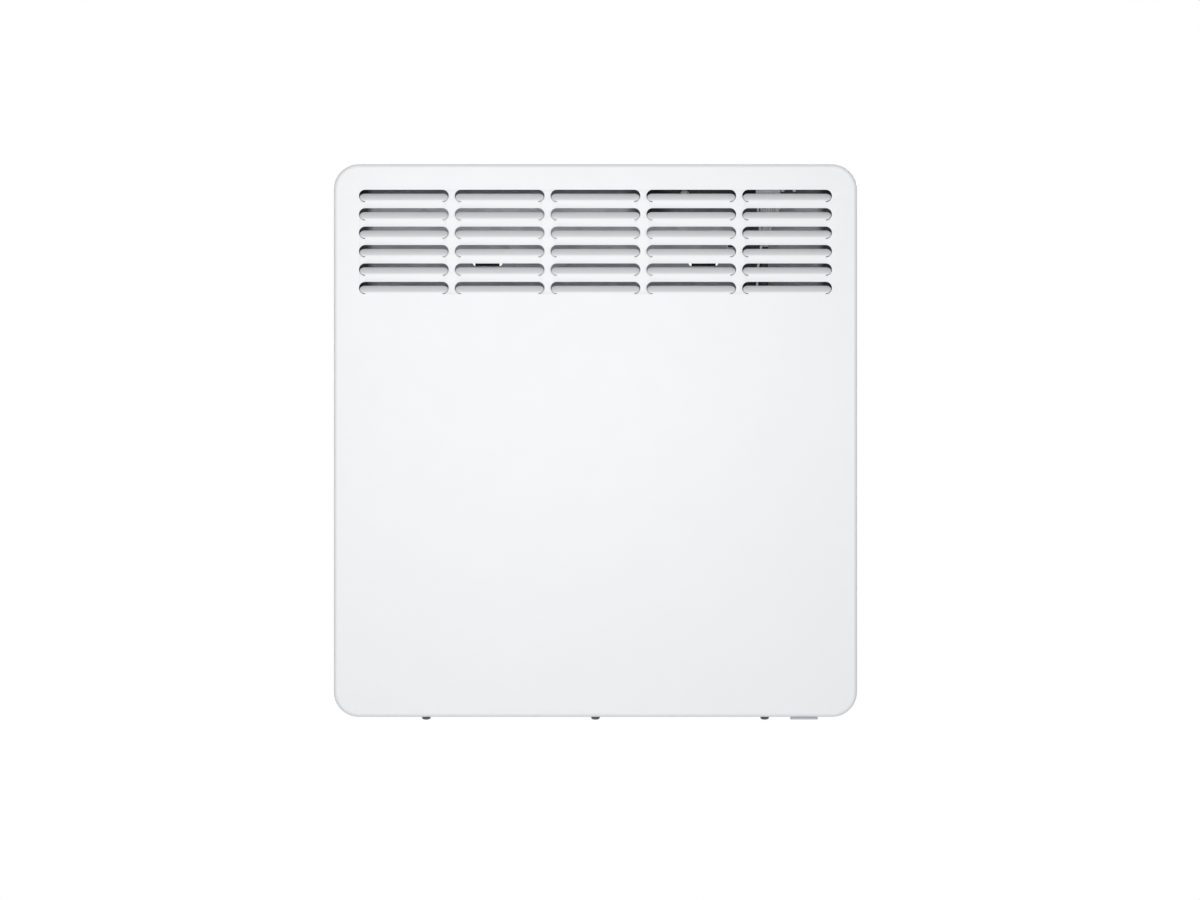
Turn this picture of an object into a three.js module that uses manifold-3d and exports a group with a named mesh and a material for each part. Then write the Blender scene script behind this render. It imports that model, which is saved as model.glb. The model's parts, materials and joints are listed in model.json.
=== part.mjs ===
// Wall panel convector heater: a shallow steel casing with stamped louvres, on a wall bracket.
// Millimetres. +X is to the right of someone who faces the heater, +Y runs into the wall, +Z is up.
// The origin is on the wall, behind the middle of the casing.
import * as THREE from "three";
import { mergeVertices } from "three/addons/utils/BufferGeometryUtils.js";
import Module from "manifold-3d";

const wasm = await Module();
wasm.setup();

// ---------------------------------------------------------------- driving dimensions

const seat = 0.3; // gap left where two pieces touch

// casing: a tray of sheet steel, open towards the wall
const casingWidth = 426;
const casingHeight = 450;
const casingDepth = 78;
const wallGap = 20; // free space between the casing and the wall
const casingSheet = 1;
const casingCorner = 20.5; // radius of the four corners, seen from the front
const casingBend = 3; // outer radius where the front turns into the sides
const lipDepth = 28; // the bottom wall, from the front; behind it the air comes in
const inletSideMargin = 23; // from the casing's sides to the air inlet's opening
const hemHeight = 9; // the top wall's rear edge, folded down behind the rear panel
const hemSideMargin = 33;

// louvres: slots with the sheet bent inwards at their lower edge
const louvreRows = 6;
const louvreLength = 73;
const louvreHeight = 10;
const louvreLandX = 5; // sheet left between two columns
const louvreLandZ = 5; // sheet left between two rows
const louvreTopMargin = 20.8;
const louvreSideMargin = 20; // the least that is left beside the first and the last column
const louvreAngle = THREE.MathUtils.degToRad(56);
const louvreBend = 4; // inner radius of the bend
const louvreShear = 0.5; // gap between a flap's edge and its slot, before bending

// rear panel: a shallow tray inside the casing, with the air inlet as its bottom shelf
const panelSheet = 0.8;
const panelFlange = 11;
const shelfReach = 1.5; // from the shelf's front edge to the casing's front
const inletRows = 4;
const inletPitch = 10;
const inletSlotWidth = 6;
const inletSlotLength = 66;
const inletFirstRow = 6; // from the lip to the first row's middle
const beadLength = 240;
const beadWidth = 14;
const beadHeight = 2;
const beadSpacing = 52;

// wall bracket: two hat-shaped rails, whose feet are spot welded on three channels
const bracketSheet = 1.5;
const bracketBend = 1; // inner radius of its bends
const railInset = 28; // from the partition to the right rail's middle; the left rail mirrors it
const railWidth = 40;
const railFoot = 12;
const railMargin = 25; // from the casing's top and bottom to the rails' ends
const channelHeight = 40;
const channelFlange = 8;
const channelSpacing = 140;
const fixingInset = 49; // from a rail's middle to the wall screw beside it
const fixingSlotLength = 20;
const fixingSlotWidth = 7;

// latches and lower hooks
const noseWidth = 14;
const noseSide = 1; // clearance beside a nose in its window
const panelSlotWidth = 25;
const latchCatch = 5.7; // how far a latch's lip stands above its slot
const latchTravel = 6;
const latchNoseDrop = 73.5; // from the casing's top to the nose, with the latch up
const latchWidth = 20;
const latchTopDrop = 18;
const latchLedgeDrop = 115;
const latchLance = 14; // of sheet, bent out of the strip to make the nose
const latchTab = 10;
const hookRise = 75; // from the casing's bottom to the lower hooks' resting face
const hookLip = 8;
const lipPlay = 0.5; // between a lip and the panel that it holds
const guideLength = 11.5;
const guideHeight = 6;
const guideDrops = [105, 53]; // from the casing's top
const springWire = 0.9;
const springRadius = 3.4; // of the wire's middle line
const springTurns = 7;
const springLength = 29.4;

// heating element: an extruded aluminium cross on a heating rod
const elementY = -60;
const elementRise = 85; // above the casing's bottom
const coreRadius = 7;
const rodRadius = 3.3;
const finArm = 28;
const finThickness = 1.6;
const finAngle = THREE.MathUtils.degToRad(42);
const finNotchPitch = 24;
const finNotch = 2;
const finNotchDepth = 14;
const pinRadius = 1.5;
const pinLength = 9;
const bushRadius = 8;
const bushFlange = 10.5;
const bushFlangeThickness = 3;
const bushBody = 4;
const holderInset = 21; // from the casing's left side
const holderSheet = 1;
const holderHeight = 46;
const holderReach = 62;
const holderFlange = 15;

// partition between the heated chamber and the cool one
const coolWidth = 96; // the unheated chamber, right of the partition
const partitionSheet = 0.8;
const partitionFlange = 13;
const partitionReach = 70;
const partitionRise = 11; // above the casing's bottom

// control unit in the top wall
const bezelWidth = 74;
const bezelDepth = 40;
const bezelCorner = 4;
const bezelThickness = 2.4;
const bezelSideInset = 26; // from the casing's right side to the bezel's edge
const bezelFrontInset = 10;
const bezelDrop = 0.3; // of its face below the casing's top
const bezelGap = 0.5; // round it, in the casing's window
const housingHeight = 15;
const housingWall = 1.6;
const housingMargin = 1; // the housing's walls stand this far outside the bezel's edge
const armWidth = 3;
const footWidth = 14;
const footThickness = 2.2;
const footSpacing = 52;
const footHoleRise = 3.6; // from the housing's floor to the screws
const pegRadius = 1.5; // pegs under the housing, beside the plug, that wires can be tied to
const pegLength = 4;
const pegOffsets = [12, 21.5]; // from the plug's middle
const boardThickness = 1.6;
const boardPost = 3.5;
const boardGap = 1.2;
const displayWidth = 34;
const displayDepth = 18;
const displayRecess = 1;
const buttonWidth = 9;
const buttonDepth = 6.5;
const buttonCorner = 2;
const buttonPitch = 15;
const buttonTravel = 0.8;
const buttonFlange = 1;
const buttonSide = 0.35; // clearance beside a button
const tactWidth = 6;
const tactHeight = 3.4;

// main switch in the bottom shelf
const switchInset = 43; // from the casing's right side to its middle
const switchFrameWidth = 22.2;
const switchFrameDepth = 15.5;
const switchFrameCorner = 1.5;
const switchBodyWidth = 19;
const switchBodyDepth = 12.6;
const switchBodyHeight = 14;
const switchTabLength = 7;
const switchDrop = 2.3; // how far it stands below the casing
const switchWindowGap = 0.6;
const rockerWidth = 15.8;
const rockerDepth = 9.2;
const rockerSide = 0.5;
const rockerPin = 1.2;
const rockerTilt = THREE.MathUtils.degToRad(6);

// fasteners
const screwSideInset = 75; // from the casing's sides to the outer bottom screws
const screwInset = 14; // from the casing's front to their middle
const screwHeadRadius = 3.5;
const screwHeadHeight = 2.4;
const screwShankRadius = 1.9;
const screwLength = 9;
const smallHeadRadius = 3.1;
const smallHeadHeight = 2;
const smallShankRadius = 1.5;
const smallScrewLength = 6;

// wiring
const wireRadius = 0.9;
const sleeveRadius = 3.2;
const plugWidth = 20;
const plugDepth = 9;
const plugHeight = 10;
const plugWires = 5; // four of the loom and the sensor's
const loomInset = 20.6; // from the partition to the sleeve's middle
const loomFrontInset = 18; // from the casing's front
const loomTopDrop = 67; // from the casing's top to the sleeve's mouth
const loomPitch = 4.2; // between the plug's wires
const plugInset = 23.8; // from the partition to the plug's middle
const grommetBore = 1.6;

// ---------------------------------------------------------------- derived places

const rearY = -wallGap;
const frontY = rearY - casingDepth;
const topZ = casingHeight / 2;
const bottomZ = -topZ;
const rightX = casingWidth / 2;
const leftX = -rightX;
const partitionX = rightX - coolWidth;
const railX = partitionX - railInset;
const fixingX = railX - fixingInset;
const insideFrontY = frontY + casingSheet;
const panelBackY = rearY - casingSheet - seat;
const panelFrontY = panelBackY - panelSheet;
const panelInset = casingSheet + seat; // the panel's edge, inside the casing's outline
const inletWidth = casingWidth - 2 * inletSideMargin;
const hemWidth = casingWidth - 2 * hemSideMargin;
const louvrePitchX = louvreLength + louvreLandX;
const louvrePitchZ = louvreHeight + louvreLandZ;
// a wider casing has more columns of the same louvre
const louvreField = casingWidth - 2 * louvreSideMargin;
const louvreColumns = Math.floor((louvreField - louvreLength) / louvrePitchX) + 1;
const shelfBottomZ = bottomZ + panelInset;
const shelfTopZ = shelfBottomZ + panelSheet;
const shelfFrontY = insideFrontY + shelfReach;
const lipRearY = frontY + lipDepth;
const railFrontY = panelBackY + seat; // face of the rails, against the rear panel
const railLength = casingHeight - 2 * railMargin;
const latchNoseZ = topZ - latchNoseDrop;
const latchTopZ = topZ - latchTopDrop;
const latchLedgeZ = topZ - latchLedgeDrop;
const guideHeights = guideDrops.map((drop) => topZ - drop);
const hookNoseZ = bottomZ + hookRise;
const latchY = railFrontY + bracketSheet + seat; // front face of a latch's strip
const lipY = panelFrontY - lipPlay - bracketSheet / 2; // middle of the lips' sheet
const latchSlotTopZ = latchNoseZ + seat;
const latchSlotBottomZ = latchNoseZ - bracketSheet - latchTravel - seat;
const hookSlotTopZ = hookNoseZ + seat;
const hookSlotBottomZ = hookSlotTopZ - hookLip - bracketSheet - 2.5;
const elementZ = bottomZ + elementRise;
const holderX = leftX + holderInset;
const partitionBottomZ = bottomZ + partitionRise;
const bezelX = rightX - bezelSideInset - bezelWidth / 2;
const bezelY = frontY + bezelFrontInset + bezelDepth / 2;
const bezelTopZ = topZ - bezelDrop;
const bezelBottomZ = bezelTopZ - bezelThickness;
const housingTopZ = bezelBottomZ - seat;
const housingBottomZ = housingTopZ - housingHeight;
const boardZ = housingBottomZ + housingWall + boardPost + seat;
const boardTopZ = boardZ + boardThickness;
const armYs = [panelFrontY - seat, bezelY + bezelDepth / 2 + housingMargin];
const plugTopZ = housingBottomZ - seat;
const partitionTopZ = housingBottomZ - seat;
const switchX = rightX - switchInset;
const lipMiddleY = frontY + screwInset; // the bottom screws and the switch sit on this line
const screwSpacing = rightX - screwSideInset;
const loomX = partitionX + loomInset;
const loomY = frontY + loomFrontInset;
const loomTopZ = topZ - loomTopDrop;
const plugX = partitionX + plugInset;
const switchFrameTopZ = shelfBottomZ - seat;
const switchFrameBottomZ = bottomZ - switchDrop;
const rockerPivotZ = bottomZ + 1.5;

// ---------------------------------------------------------------- materials

function finish(colour, roughness, metalness) {
  return new THREE.MeshStandardMaterial({ color: colour, roughness, metalness });
}

const whitePaint = finish(0xf5f6f8, 0.45, 0);
const zincSheet = finish(0xa9adb0, 0.45, 0.9);
const steel = finish(0x8c8f92, 0.35, 1);
const darkSteel = finish(0x55585c, 0.4, 0.9);
const blackSteel = finish(0x232426, 0.45, 0.6);
const aluminium = finish(0xc4c6c8, 0.4, 0.9);
const ceramic = finish(0xe9e4d6, 0.6, 0);
const greyPlastic = finish(0xc9ccd0, 0.5, 0);
const darkPlastic = finish(0x2b2d30, 0.5, 0);
const blackRubber = finish(0x1c1c1d, 0.8, 0);
const boardGreen = finish(0x2f6b45, 0.6, 0);
const clearPlastic = finish(0x3a4046, 0.1, 0);
const displayGrey = finish(0x8f9a94, 0.3, 0);
const whiteWire = finish(0xe8e8e6, 0.5, 0);
const greyWire = finish(0xb4b6b9, 0.5, 0);

// ---------------------------------------------------------------- helpers

// A closed geometry as a solid. It is turned the right way out where its faces point inwards.
function solid(geometry) {
  const plain = geometry.clone();
  plain.deleteAttribute("normal");
  plain.deleteAttribute("uv");
  const merged = mergeVertices(plain, 1e-4);
  const vertProperties = merged.attributes.position.array;
  const triVerts = new Uint32Array(merged.index.array);
  const made = new wasm.Manifold(new wasm.Mesh({ numProp: 3, vertProperties, triVerts }));
  if (made.volume() > 0) {
    return made;
  }
  const turned = triVerts.map((_, i, all) => all[i - (i % 3) + 2 - (i % 3)]);
  return new wasm.Manifold(new wasm.Mesh({ numProp: 3, vertProperties, triVerts: turned }));
}

function joined(...solids) {
  return solids.flat().reduce((whole, one) => whole.add(one));
}

function without(body, ...solids) {
  return solids.flat().reduce((whole, one) => whole.subtract(one), body);
}

function piece(name, body, material) {
  const mesh = body.getMesh();
  const geometry = new THREE.BufferGeometry();
  geometry.setAttribute("position", new THREE.BufferAttribute(mesh.vertProperties, 3));
  geometry.setIndex(new THREE.BufferAttribute(mesh.triVerts, 1));
  geometry.computeVertexNormals();
  const made = new THREE.Mesh(geometry, material);
  made.name = name;
  return made;
}

// A box between two limits along each axis.
function block(x, y, z) {
  const geometry = new THREE.BoxGeometry(
    Math.abs(x[1] - x[0]),
    Math.abs(y[1] - y[0]),
    Math.abs(z[1] - z[0]),
  );
  geometry.translate((x[0] + x[1]) / 2, (y[0] + y[1]) / 2, (z[0] + z[1]) / 2);
  return solid(geometry);
}

// Convex rings of points, all with the same number of points, joined into a closed solid.
function loft(rings) {
  const count = rings[0].length;
  const last = (rings.length - 1) * count;
  const index = [];
  for (let start = 0; start < last; start += count) {
    for (let i = 0; i < count; i++) {
      const next = (i + 1) % count;
      index.push(start + i, start + next, start + count + next);
      index.push(start + i, start + count + next, start + count + i);
    }
  }
  for (let i = 1; i + 1 < count; i++) {
    index.push(0, i + 1, i);
    index.push(last, last + i, last + i + 1);
  }
  const geometry = new THREE.BufferGeometry().setFromPoints(rings.flat());
  geometry.setIndex(index);
  return solid(geometry);
}

function roundedRectangle(width, height, radius) {
  const x = width / 2 - radius;
  const y = height / 2 - radius;
  const shape = new THREE.Shape();
  shape.absarc(x, y, radius, 0, Math.PI / 2);
  shape.absarc(-x, y, radius, Math.PI / 2, Math.PI);
  shape.absarc(-x, -y, radius, Math.PI, Math.PI * 1.5);
  shape.absarc(x, -y, radius, Math.PI * 1.5, Math.PI * 2);
  return shape;
}

// A slot with round ends.
function stadium(length, width) {
  const shape = new THREE.Shape();
  shape.absarc(length / 2 - width / 2, 0, width / 2, -Math.PI / 2, Math.PI / 2);
  shape.absarc(width / 2 - length / 2, 0, width / 2, Math.PI / 2, Math.PI * 1.5);
  return shape;
}

function extrusion(shape, depth, curveSegments = 4) {
  return new THREE.ExtrudeGeometry(shape, { depth, curveSegments, bevelEnabled: false });
}

// An outline seen from the front (x, z), pushed from one depth to another.
function frontward(shape, y, at = [0, 0], curveSegments = 4) {
  const geometry = extrusion(shape, Math.abs(y[1] - y[0]), curveSegments);
  geometry.rotateX(Math.PI / 2);
  geometry.translate(at[0], Math.max(...y), at[1]);
  return solid(geometry);
}

// An outline seen from above (x, y), pushed up from one height to another.
function upward(shape, z, at = [0, 0], curveSegments = 3) {
  const geometry = extrusion(shape, Math.abs(z[1] - z[0]), curveSegments);
  geometry.translate(at[0], at[1], Math.min(...z));
  return solid(geometry);
}

// An outline seen from the right (y, z), pushed sideways between two limits.
const sideBasis = new THREE.Matrix4().makeBasis(
  new THREE.Vector3(0, 1, 0),
  new THREE.Vector3(0, 0, 1),
  new THREE.Vector3(1, 0, 0),
);
function sideways(shape, x, curveSegments = 4) {
  const geometry = extrusion(shape, Math.abs(x[1] - x[0]), curveSegments);
  geometry.applyMatrix4(sideBasis);
  geometry.translate(Math.min(...x), 0, 0);
  return solid(geometry);
}

// The edge-on outline of a bent sheet. The path runs along the middle of its thickness.
function bentSheet(path, thickness, innerBend, bendSteps = 2) {
  const corners = path.map(([u, v]) => new THREE.Vector2(u, v));
  const radius = innerBend + thickness / 2;
  const left = [];
  const right = [];
  const add = (point, direction) => {
    const normal = new THREE.Vector2(-direction.y, direction.x).multiplyScalar(thickness / 2);
    left.push(point.clone().add(normal));
    right.push(point.clone().sub(normal));
  };
  const heading = (i) => corners[i + 1].clone().sub(corners[i]).normalize();
  add(corners[0], heading(0));
  for (let i = 1; i + 1 < corners.length; i++) {
    const from = heading(i - 1);
    const to = heading(i);
    const turn = Math.atan2(from.cross(to), from.dot(to));
    const reach = radius * Math.tan(Math.abs(turn) / 2);
    const side = new THREE.Vector2(-from.y, from.x).multiplyScalar(Math.sign(turn) * radius);
    const centre = corners[i].clone().addScaledVector(from, -reach).add(side);
    for (let step = 0; step <= bendSteps; step++) {
      const angle = (turn * step) / bendSteps;
      const direction = from.clone().rotateAround(new THREE.Vector2(), angle);
      const arm = side.clone().negate().rotateAround(new THREE.Vector2(), angle);
      add(centre.clone().add(arm), direction);
    }
  }
  add(corners[corners.length - 1], heading(corners.length - 2));
  return new THREE.Shape([...left, ...right.reverse()]);
}

// A turned piece: profile points are [radius, distance along the axis], from the axis to the axis.
function turned(profile, sides = 16) {
  return new THREE.LatheGeometry(
    profile.map(([r, h]) => new THREE.Vector2(r, h)),
    sides,
  );
}

// A turned piece whose axis starts at a point and runs in a direction.
function turnedAlong(profile, start, direction, sides = 16) {
  const geometry = turned(profile, sides);
  const turn = new THREE.Quaternion().setFromUnitVectors(
    new THREE.Vector3(0, 1, 0),
    new THREE.Vector3(...direction),
  );
  geometry.applyQuaternion(turn);
  geometry.translate(...start);
  return solid(geometry);
}

function cylinder(radius, length, start, direction, sides = 16) {
  const profile = [
    [0, 0],
    [radius, 0],
    [radius, length],
    [0, length],
  ];
  return turnedAlong(profile, start, direction, sides);
}

const toWall = [0, 1, 0];
const toRoom = [0, -1, 0];
const up = [0, 0, 1];
const down = [0, 0, -1];
const toRight = [1, 0, 0];

// A round wire through a list of points.
function tube(points, radius, steps, sides = 5) {
  const path = new THREE.CatmullRomCurve3(points.map((p) => new THREE.Vector3(...p)));
  return tubeAlong(path, radius, steps, sides);
}

function tubeAlong(path, radius, steps, sides) {
  const section = new THREE.Shape();
  for (let i = 0; i < sides; i++) {
    const angle = (i / sides) * Math.PI * 2;
    section[i ? "lineTo" : "moveTo"](radius * Math.cos(angle), radius * Math.sin(angle));
  }
  return solid(
    new THREE.ExtrudeGeometry(section, { steps, extrudePath: path, bevelEnabled: false }),
  );
}

// ---------------------------------------------------------------- front casing

const cornerSteps = 7;
const bendSteps = 3;

// The casing's outline at one depth, moved inwards by an offset.
function casingRing(offset, y) {
  const radius = casingCorner - offset;
  const x = casingWidth / 2 - casingCorner;
  const z = casingHeight / 2 - casingCorner;
  const corners = [
    [x, z],
    [-x, z],
    [-x, -z],
    [x, -z],
  ];
  const ring = [];
  corners.forEach(([cx, cz], corner) => {
    for (let step = 0; step <= cornerSteps; step++) {
      const angle = (corner + step / cornerSteps) * (Math.PI / 2);
      const px = cx + radius * Math.cos(angle);
      const pz = cz + radius * Math.sin(angle);
      ring.push(new THREE.Vector3(px, y, pz));
    }
  });
  return ring;
}

// The casing's full form, moved inwards by an offset, from a rear plane to its front.
function casingForm(offset, fromY) {
  const rings = [casingRing(offset, fromY)];
  const bend = casingBend - offset;
  for (let step = 0; step <= bendSteps; step++) {
    const angle = ((step / bendSteps) * Math.PI) / 2;
    const y = frontY + casingBend - bend * Math.sin(angle);
    rings.push(casingRing(offset + bend * (1 - Math.cos(angle)), y));
  }
  return loft(rings);
}

const louvrePlaces = [];
for (let row = 0; row < louvreRows; row++) {
  for (let column = 0; column < louvreColumns; column++) {
    const x = (column - (louvreColumns - 1) / 2) * louvrePitchX;
    const z = topZ - louvreTopMargin - louvreHeight / 2 - row * louvrePitchZ;
    louvrePlaces.push([x, z]);
  }
}

// One flap: the sheet from its slot, still joined at the lower edge and bent inwards there.
// Its stations follow the slot's round ends, so its outline is the slot's own.
function louvreFlap() {
  const flapSteps = 5;
  const endRadius = louvreHeight / 2;
  const flapRadius = endRadius - louvreShear;
  const hingeHalf = louvreLength / 2 - endRadius;
  const middleBend = louvreBend + casingSheet / 2;
  const bendLength = middleBend * louvreAngle;
  const station = (along, half) => {
    const bent = THREE.MathUtils.clamp(along, 0, bendLength);
    const angle = bent / middleBend;
    const y = middleBend * (1 - Math.cos(angle)) + (along - bent) * Math.sin(angle);
    const z = middleBend * Math.sin(angle) + (along - bent) * Math.cos(angle);
    const across = [(Math.cos(angle) * casingSheet) / 2, (-Math.sin(angle) * casingSheet) / 2];
    return [
      new THREE.Vector3(-half, y - across[0], z - across[1]),
      new THREE.Vector3(half, y - across[0], z - across[1]),
      new THREE.Vector3(half, y + across[0], z + across[1]),
      new THREE.Vector3(-half, y + across[0], z + across[1]),
    ];
  };
  const rootOverlap = 0.5;
  const rings = [station(-rootOverlap, hingeHalf), station(0, hingeHalf)];
  for (let step = 0; step <= flapSteps; step++) {
    const angle = (step / flapSteps) * Math.PI;
    const along = endRadius - flapRadius * Math.cos(angle);
    rings.push(station(along, hingeHalf + flapRadius * Math.sin(angle)));
  }
  return loft(rings);
}

function bottomScrewXs() {
  return [-screwSpacing, 0, screwSpacing];
}

function frontCasing() {
  const shell = without(casingForm(0, rearY), casingForm(casingSheet, rearY + 1));
  const slot = stadium(louvreLength, louvreHeight);
  const slots = louvrePlaces.map((at) => frontward(slot, [frontY - 1, insideFrontY + 1], at, 4));
  const flap = louvreFlap();
  const flaps = louvrePlaces.map(([x, z]) =>
    flap.translate([x, frontY + casingSheet / 2, z - louvreHeight / 2]),
  );
  const inlet = upward(
    roundedRectangle(inletWidth, rearY - lipRearY + 20, 6),
    [bottomZ - 1, bottomZ + casingSheet + 0.5],
    [0, (rearY + lipRearY + 20) / 2],
  );
  const controlWindow = upward(
    roundedRectangle(bezelWidth + 2 * bezelGap, bezelDepth + 2 * bezelGap, bezelCorner + bezelGap),
    [topZ - casingSheet - 1, topZ + 1],
    [bezelX, bezelY],
  );
  const switchWindow = upward(
    roundedRectangle(
      switchFrameWidth + 2 * switchWindowGap,
      switchFrameDepth + 2 * switchWindowGap,
      switchFrameCorner,
    ),
    [bottomZ - 1, bottomZ + casingSheet + 0.5],
    [switchX, lipMiddleY],
  );
  const screwHoles = bottomScrewXs().map((x) =>
    cylinder(screwShankRadius + seat, 3, [x, lipMiddleY, bottomZ - 1], up, 10),
  );
  const hem = block(
    [-hemWidth / 2, hemWidth / 2],
    [rearY - casingSheet, rearY],
    [topZ - hemHeight, topZ - casingSheet / 2],
  );
  const cutShell = without(shell, slots, inlet, controlWindow, switchWindow, screwHoles);
  return joined(cutShell, flaps, hem);
}

// ---------------------------------------------------------------- rear panel

const controlFootXs = [-1, 1].map((side) => bezelX + (side * footSpacing) / 2);
const footZ = housingBottomZ + footHoleRise;
const holderScrews = [-1, 1].map((side) => [holderX + 8, elementZ + side * 15]);
const partitionScrews = [elementZ + 45, topZ - 185, topZ - 60].map((z) => [partitionX + 7, z]);
const terminalAt = [rightX - 53, bottomZ + 75]; // x and z, as for the next three
const earthAt = [partitionX - 43.5, topZ - 22];
const cableAt = [rightX - 37, bottomZ + 29];
const clipSlotAt = [partitionX - 6.5, topZ - 66]; // a spare slot for a wire clip
const clipSlot = [5, 4];
const cableBushRadius = 8;
const cableBore = 4;
const panelScrews = [
  ...controlFootXs.map((x) => [x, footZ]),
  ...holderScrews,
  ...partitionScrews,
  terminalAt,
];

function rearPanel() {
  const outer = casingRing(panelInset, panelBackY);
  const outerFront = casingRing(panelInset, shelfFrontY);
  const inner = casingRing(panelInset + panelSheet, panelFrontY);
  const innerFront = casingRing(panelInset + panelSheet, shelfFrontY - 1);
  const deepTray = without(loft([outer, outerFront]), loft([inner, innerFront]));
  const flangeFrontY = panelBackY - panelFlange;
  const aboveShelf = block(
    [-casingWidth, casingWidth],
    [flangeFrontY, frontY],
    [shelfTopZ, casingHeight],
  );
  const flatHalf = casingWidth / 2 - casingCorner;
  const shelfCorners = [-1, 1].map((side) =>
    block(
      [side * flatHalf, side * casingWidth],
      [flangeFrontY, frontY],
      [-casingHeight, shelfTopZ + 1],
    ),
  );
  const panelThrough = [panelBackY + 1, panelFrontY - 1];
  const latchSlot = roundedRectangle(panelSlotWidth, latchSlotTopZ - latchSlotBottomZ, 1.5);
  const hookSlot = roundedRectangle(panelSlotWidth, hookSlotTopZ - hookSlotBottomZ, 1.5);
  const hookings = [-railX, railX].flatMap((x) => [
    frontward(latchSlot, panelThrough, [x, (latchSlotTopZ + latchSlotBottomZ) / 2], 3),
    frontward(hookSlot, panelThrough, [x, (hookSlotTopZ + hookSlotBottomZ) / 2], 3),
  ]);
  const inletSlot = stadium(inletSlotLength, inletSlotWidth);
  const inlets = [];
  for (let row = 0; row < inletRows; row++) {
    for (let column = 0; column < louvreColumns; column++) {
      const x = (column - (louvreColumns - 1) / 2) * louvrePitchX;
      const y = lipRearY + inletFirstRow + row * inletPitch;
      inlets.push(upward(inletSlot, [shelfBottomZ - 1, shelfTopZ + 1], [x, y], 3));
    }
  }
  const bottomHoles = bottomScrewXs().map((x) =>
    cylinder(screwShankRadius + seat, 4, [x, lipMiddleY, shelfBottomZ - 1], up, 10),
  );
  const switchHole = block(
    [switchX - switchBodyWidth / 2 - seat, switchX + switchBodyWidth / 2 + seat],
    [lipMiddleY - switchBodyDepth / 2 - seat, lipMiddleY + switchBodyDepth / 2 + seat],
    [shelfBottomZ - 1, shelfTopZ + 1],
  );
  const backHoles = [...panelScrews, earthAt].map(([x, z]) =>
    cylinder(smallShankRadius + seat, 4, [x, panelBackY + 1, z], toRoom, 8),
  );
  const cableHole = cylinder(
    cableBushRadius - 1.5,
    4,
    [cableAt[0], panelBackY + 1, cableAt[1]],
    toRoom,
    16,
  );
  const spareSlot = frontward(
    roundedRectangle(clipSlot[0], clipSlot[1], 0.8),
    panelThrough,
    clipSlotAt,
    2,
  );
  const bead = (grow, fromY, toY) => {
    const ring = (half, y) => {
      const points = stadium(beadLength + 2 * half, beadWidth + 2 * half).getPoints(4);
      return points.map((p) => new THREE.Vector3(p.y, y, p.x));
    };
    return loft([ring(grow, fromY), ring(grow - beadHeight, toY)]);
  };
  const beads = [-beadSpacing / 2, beadSpacing / 2].map((x) => [
    bead(panelSheet / 2, panelFrontY + 0.1, panelFrontY - beadHeight).translate([x, 0, 0]),
    bead(-panelSheet / 2, panelBackY + 0.1, panelBackY - beadHeight).translate([x, 0, 0]),
  ]);
  const tray = without(deepTray, aboveShelf, shelfCorners);
  const pressed = without(
    joined(
      tray,
      beads.map(([outside]) => outside),
    ),
    beads.map(([, inside]) => inside),
  );
  const holes = [hookings, inlets, bottomHoles, switchHole, backHoles, cableHole, spareSlot];
  return without(pressed, holes.flat());
}

// ---------------------------------------------------------------- wall bracket

function railSection(x) {
  const webX = railWidth / 2 - bracketSheet / 2;
  const footY = -bracketSheet - seat - bracketSheet / 2;
  const faceY = railFrontY + bracketSheet / 2;
  const path = [
    [x - railWidth / 2 - railFoot, footY],
    [x - webX, footY],
    [x - webX, faceY],
    [x + webX, faceY],
    [x + webX, footY],
    [x + railWidth / 2 + railFoot, footY],
  ];
  return bentSheet(path, bracketSheet, bracketBend);
}

// A nose that starts in a sheet at one depth, turns towards the room and ends in a lip.
function nose(x, sheetY, rootZ, middleZ, tipZ) {
  const path = [
    [sheetY, rootZ],
    [sheetY, middleZ],
    [lipY, middleZ],
    [lipY, tipZ],
  ];
  const half = noseWidth / 2;
  return sideways(bentSheet(path, bracketSheet, bracketBend / 2), [x - half, x + half]);
}

const springBottomZ = latchLedgeZ - seat - springLength;
const springY = latchY + bracketSheet + springRadius + springWire / 2 + 1;

function railWithFittings(x) {
  const railZ = [-railLength / 2, railLength / 2];
  const rail = upward(railSection(x), railZ);
  const faceThrough = [railFrontY - 1, railFrontY + bracketSheet + 0.2];
  const latchHalf = panelSlotWidth / 2 + seat;
  const latchWindow = block([x - latchHalf, x + latchHalf], faceThrough, [
    latchSlotBottomZ - 0.5,
    latchSlotTopZ + 1.2,
  ]);
  const hookHalf = noseWidth / 2 + noseSide;
  const hookWindow = block([x - hookHalf, x + hookHalf], faceThrough, [
    hookNoseZ,
    hookNoseZ + hookLip + 4,
  ]);
  const hookMiddleZ = hookNoseZ - bracketSheet / 2;
  const hook = nose(
    x,
    railFrontY + bracketSheet / 2,
    hookNoseZ - 8,
    hookMiddleZ,
    hookNoseZ + hookLip,
  );
  const webInside = railWidth / 2 - bracketSheet / 2;
  const guideY = [
    latchY + bracketSheet + seat,
    latchY + bracketSheet + seat + bracketSheet,
  ];
  const guides = guideHeights.flatMap((z) =>
    [-1, 1].map((side) =>
      block(
        [x + side * webInside, x + side * (railWidth / 2 - bracketSheet - guideLength)],
        guideY,
        [z, z + guideHeight],
      ),
    ),
  );
  const inward = -Math.sign(x);
  const springShelf = block(
    [x + inward * webInside, x - inward * (springRadius + 3)],
    [railFrontY + bracketSheet / 2, springY + springRadius + 1],
    [springBottomZ - seat - bracketSheet, springBottomZ - seat],
  );
  return joined(without(rail, latchWindow, hookWindow), hook, guides, springShelf);
}

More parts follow.
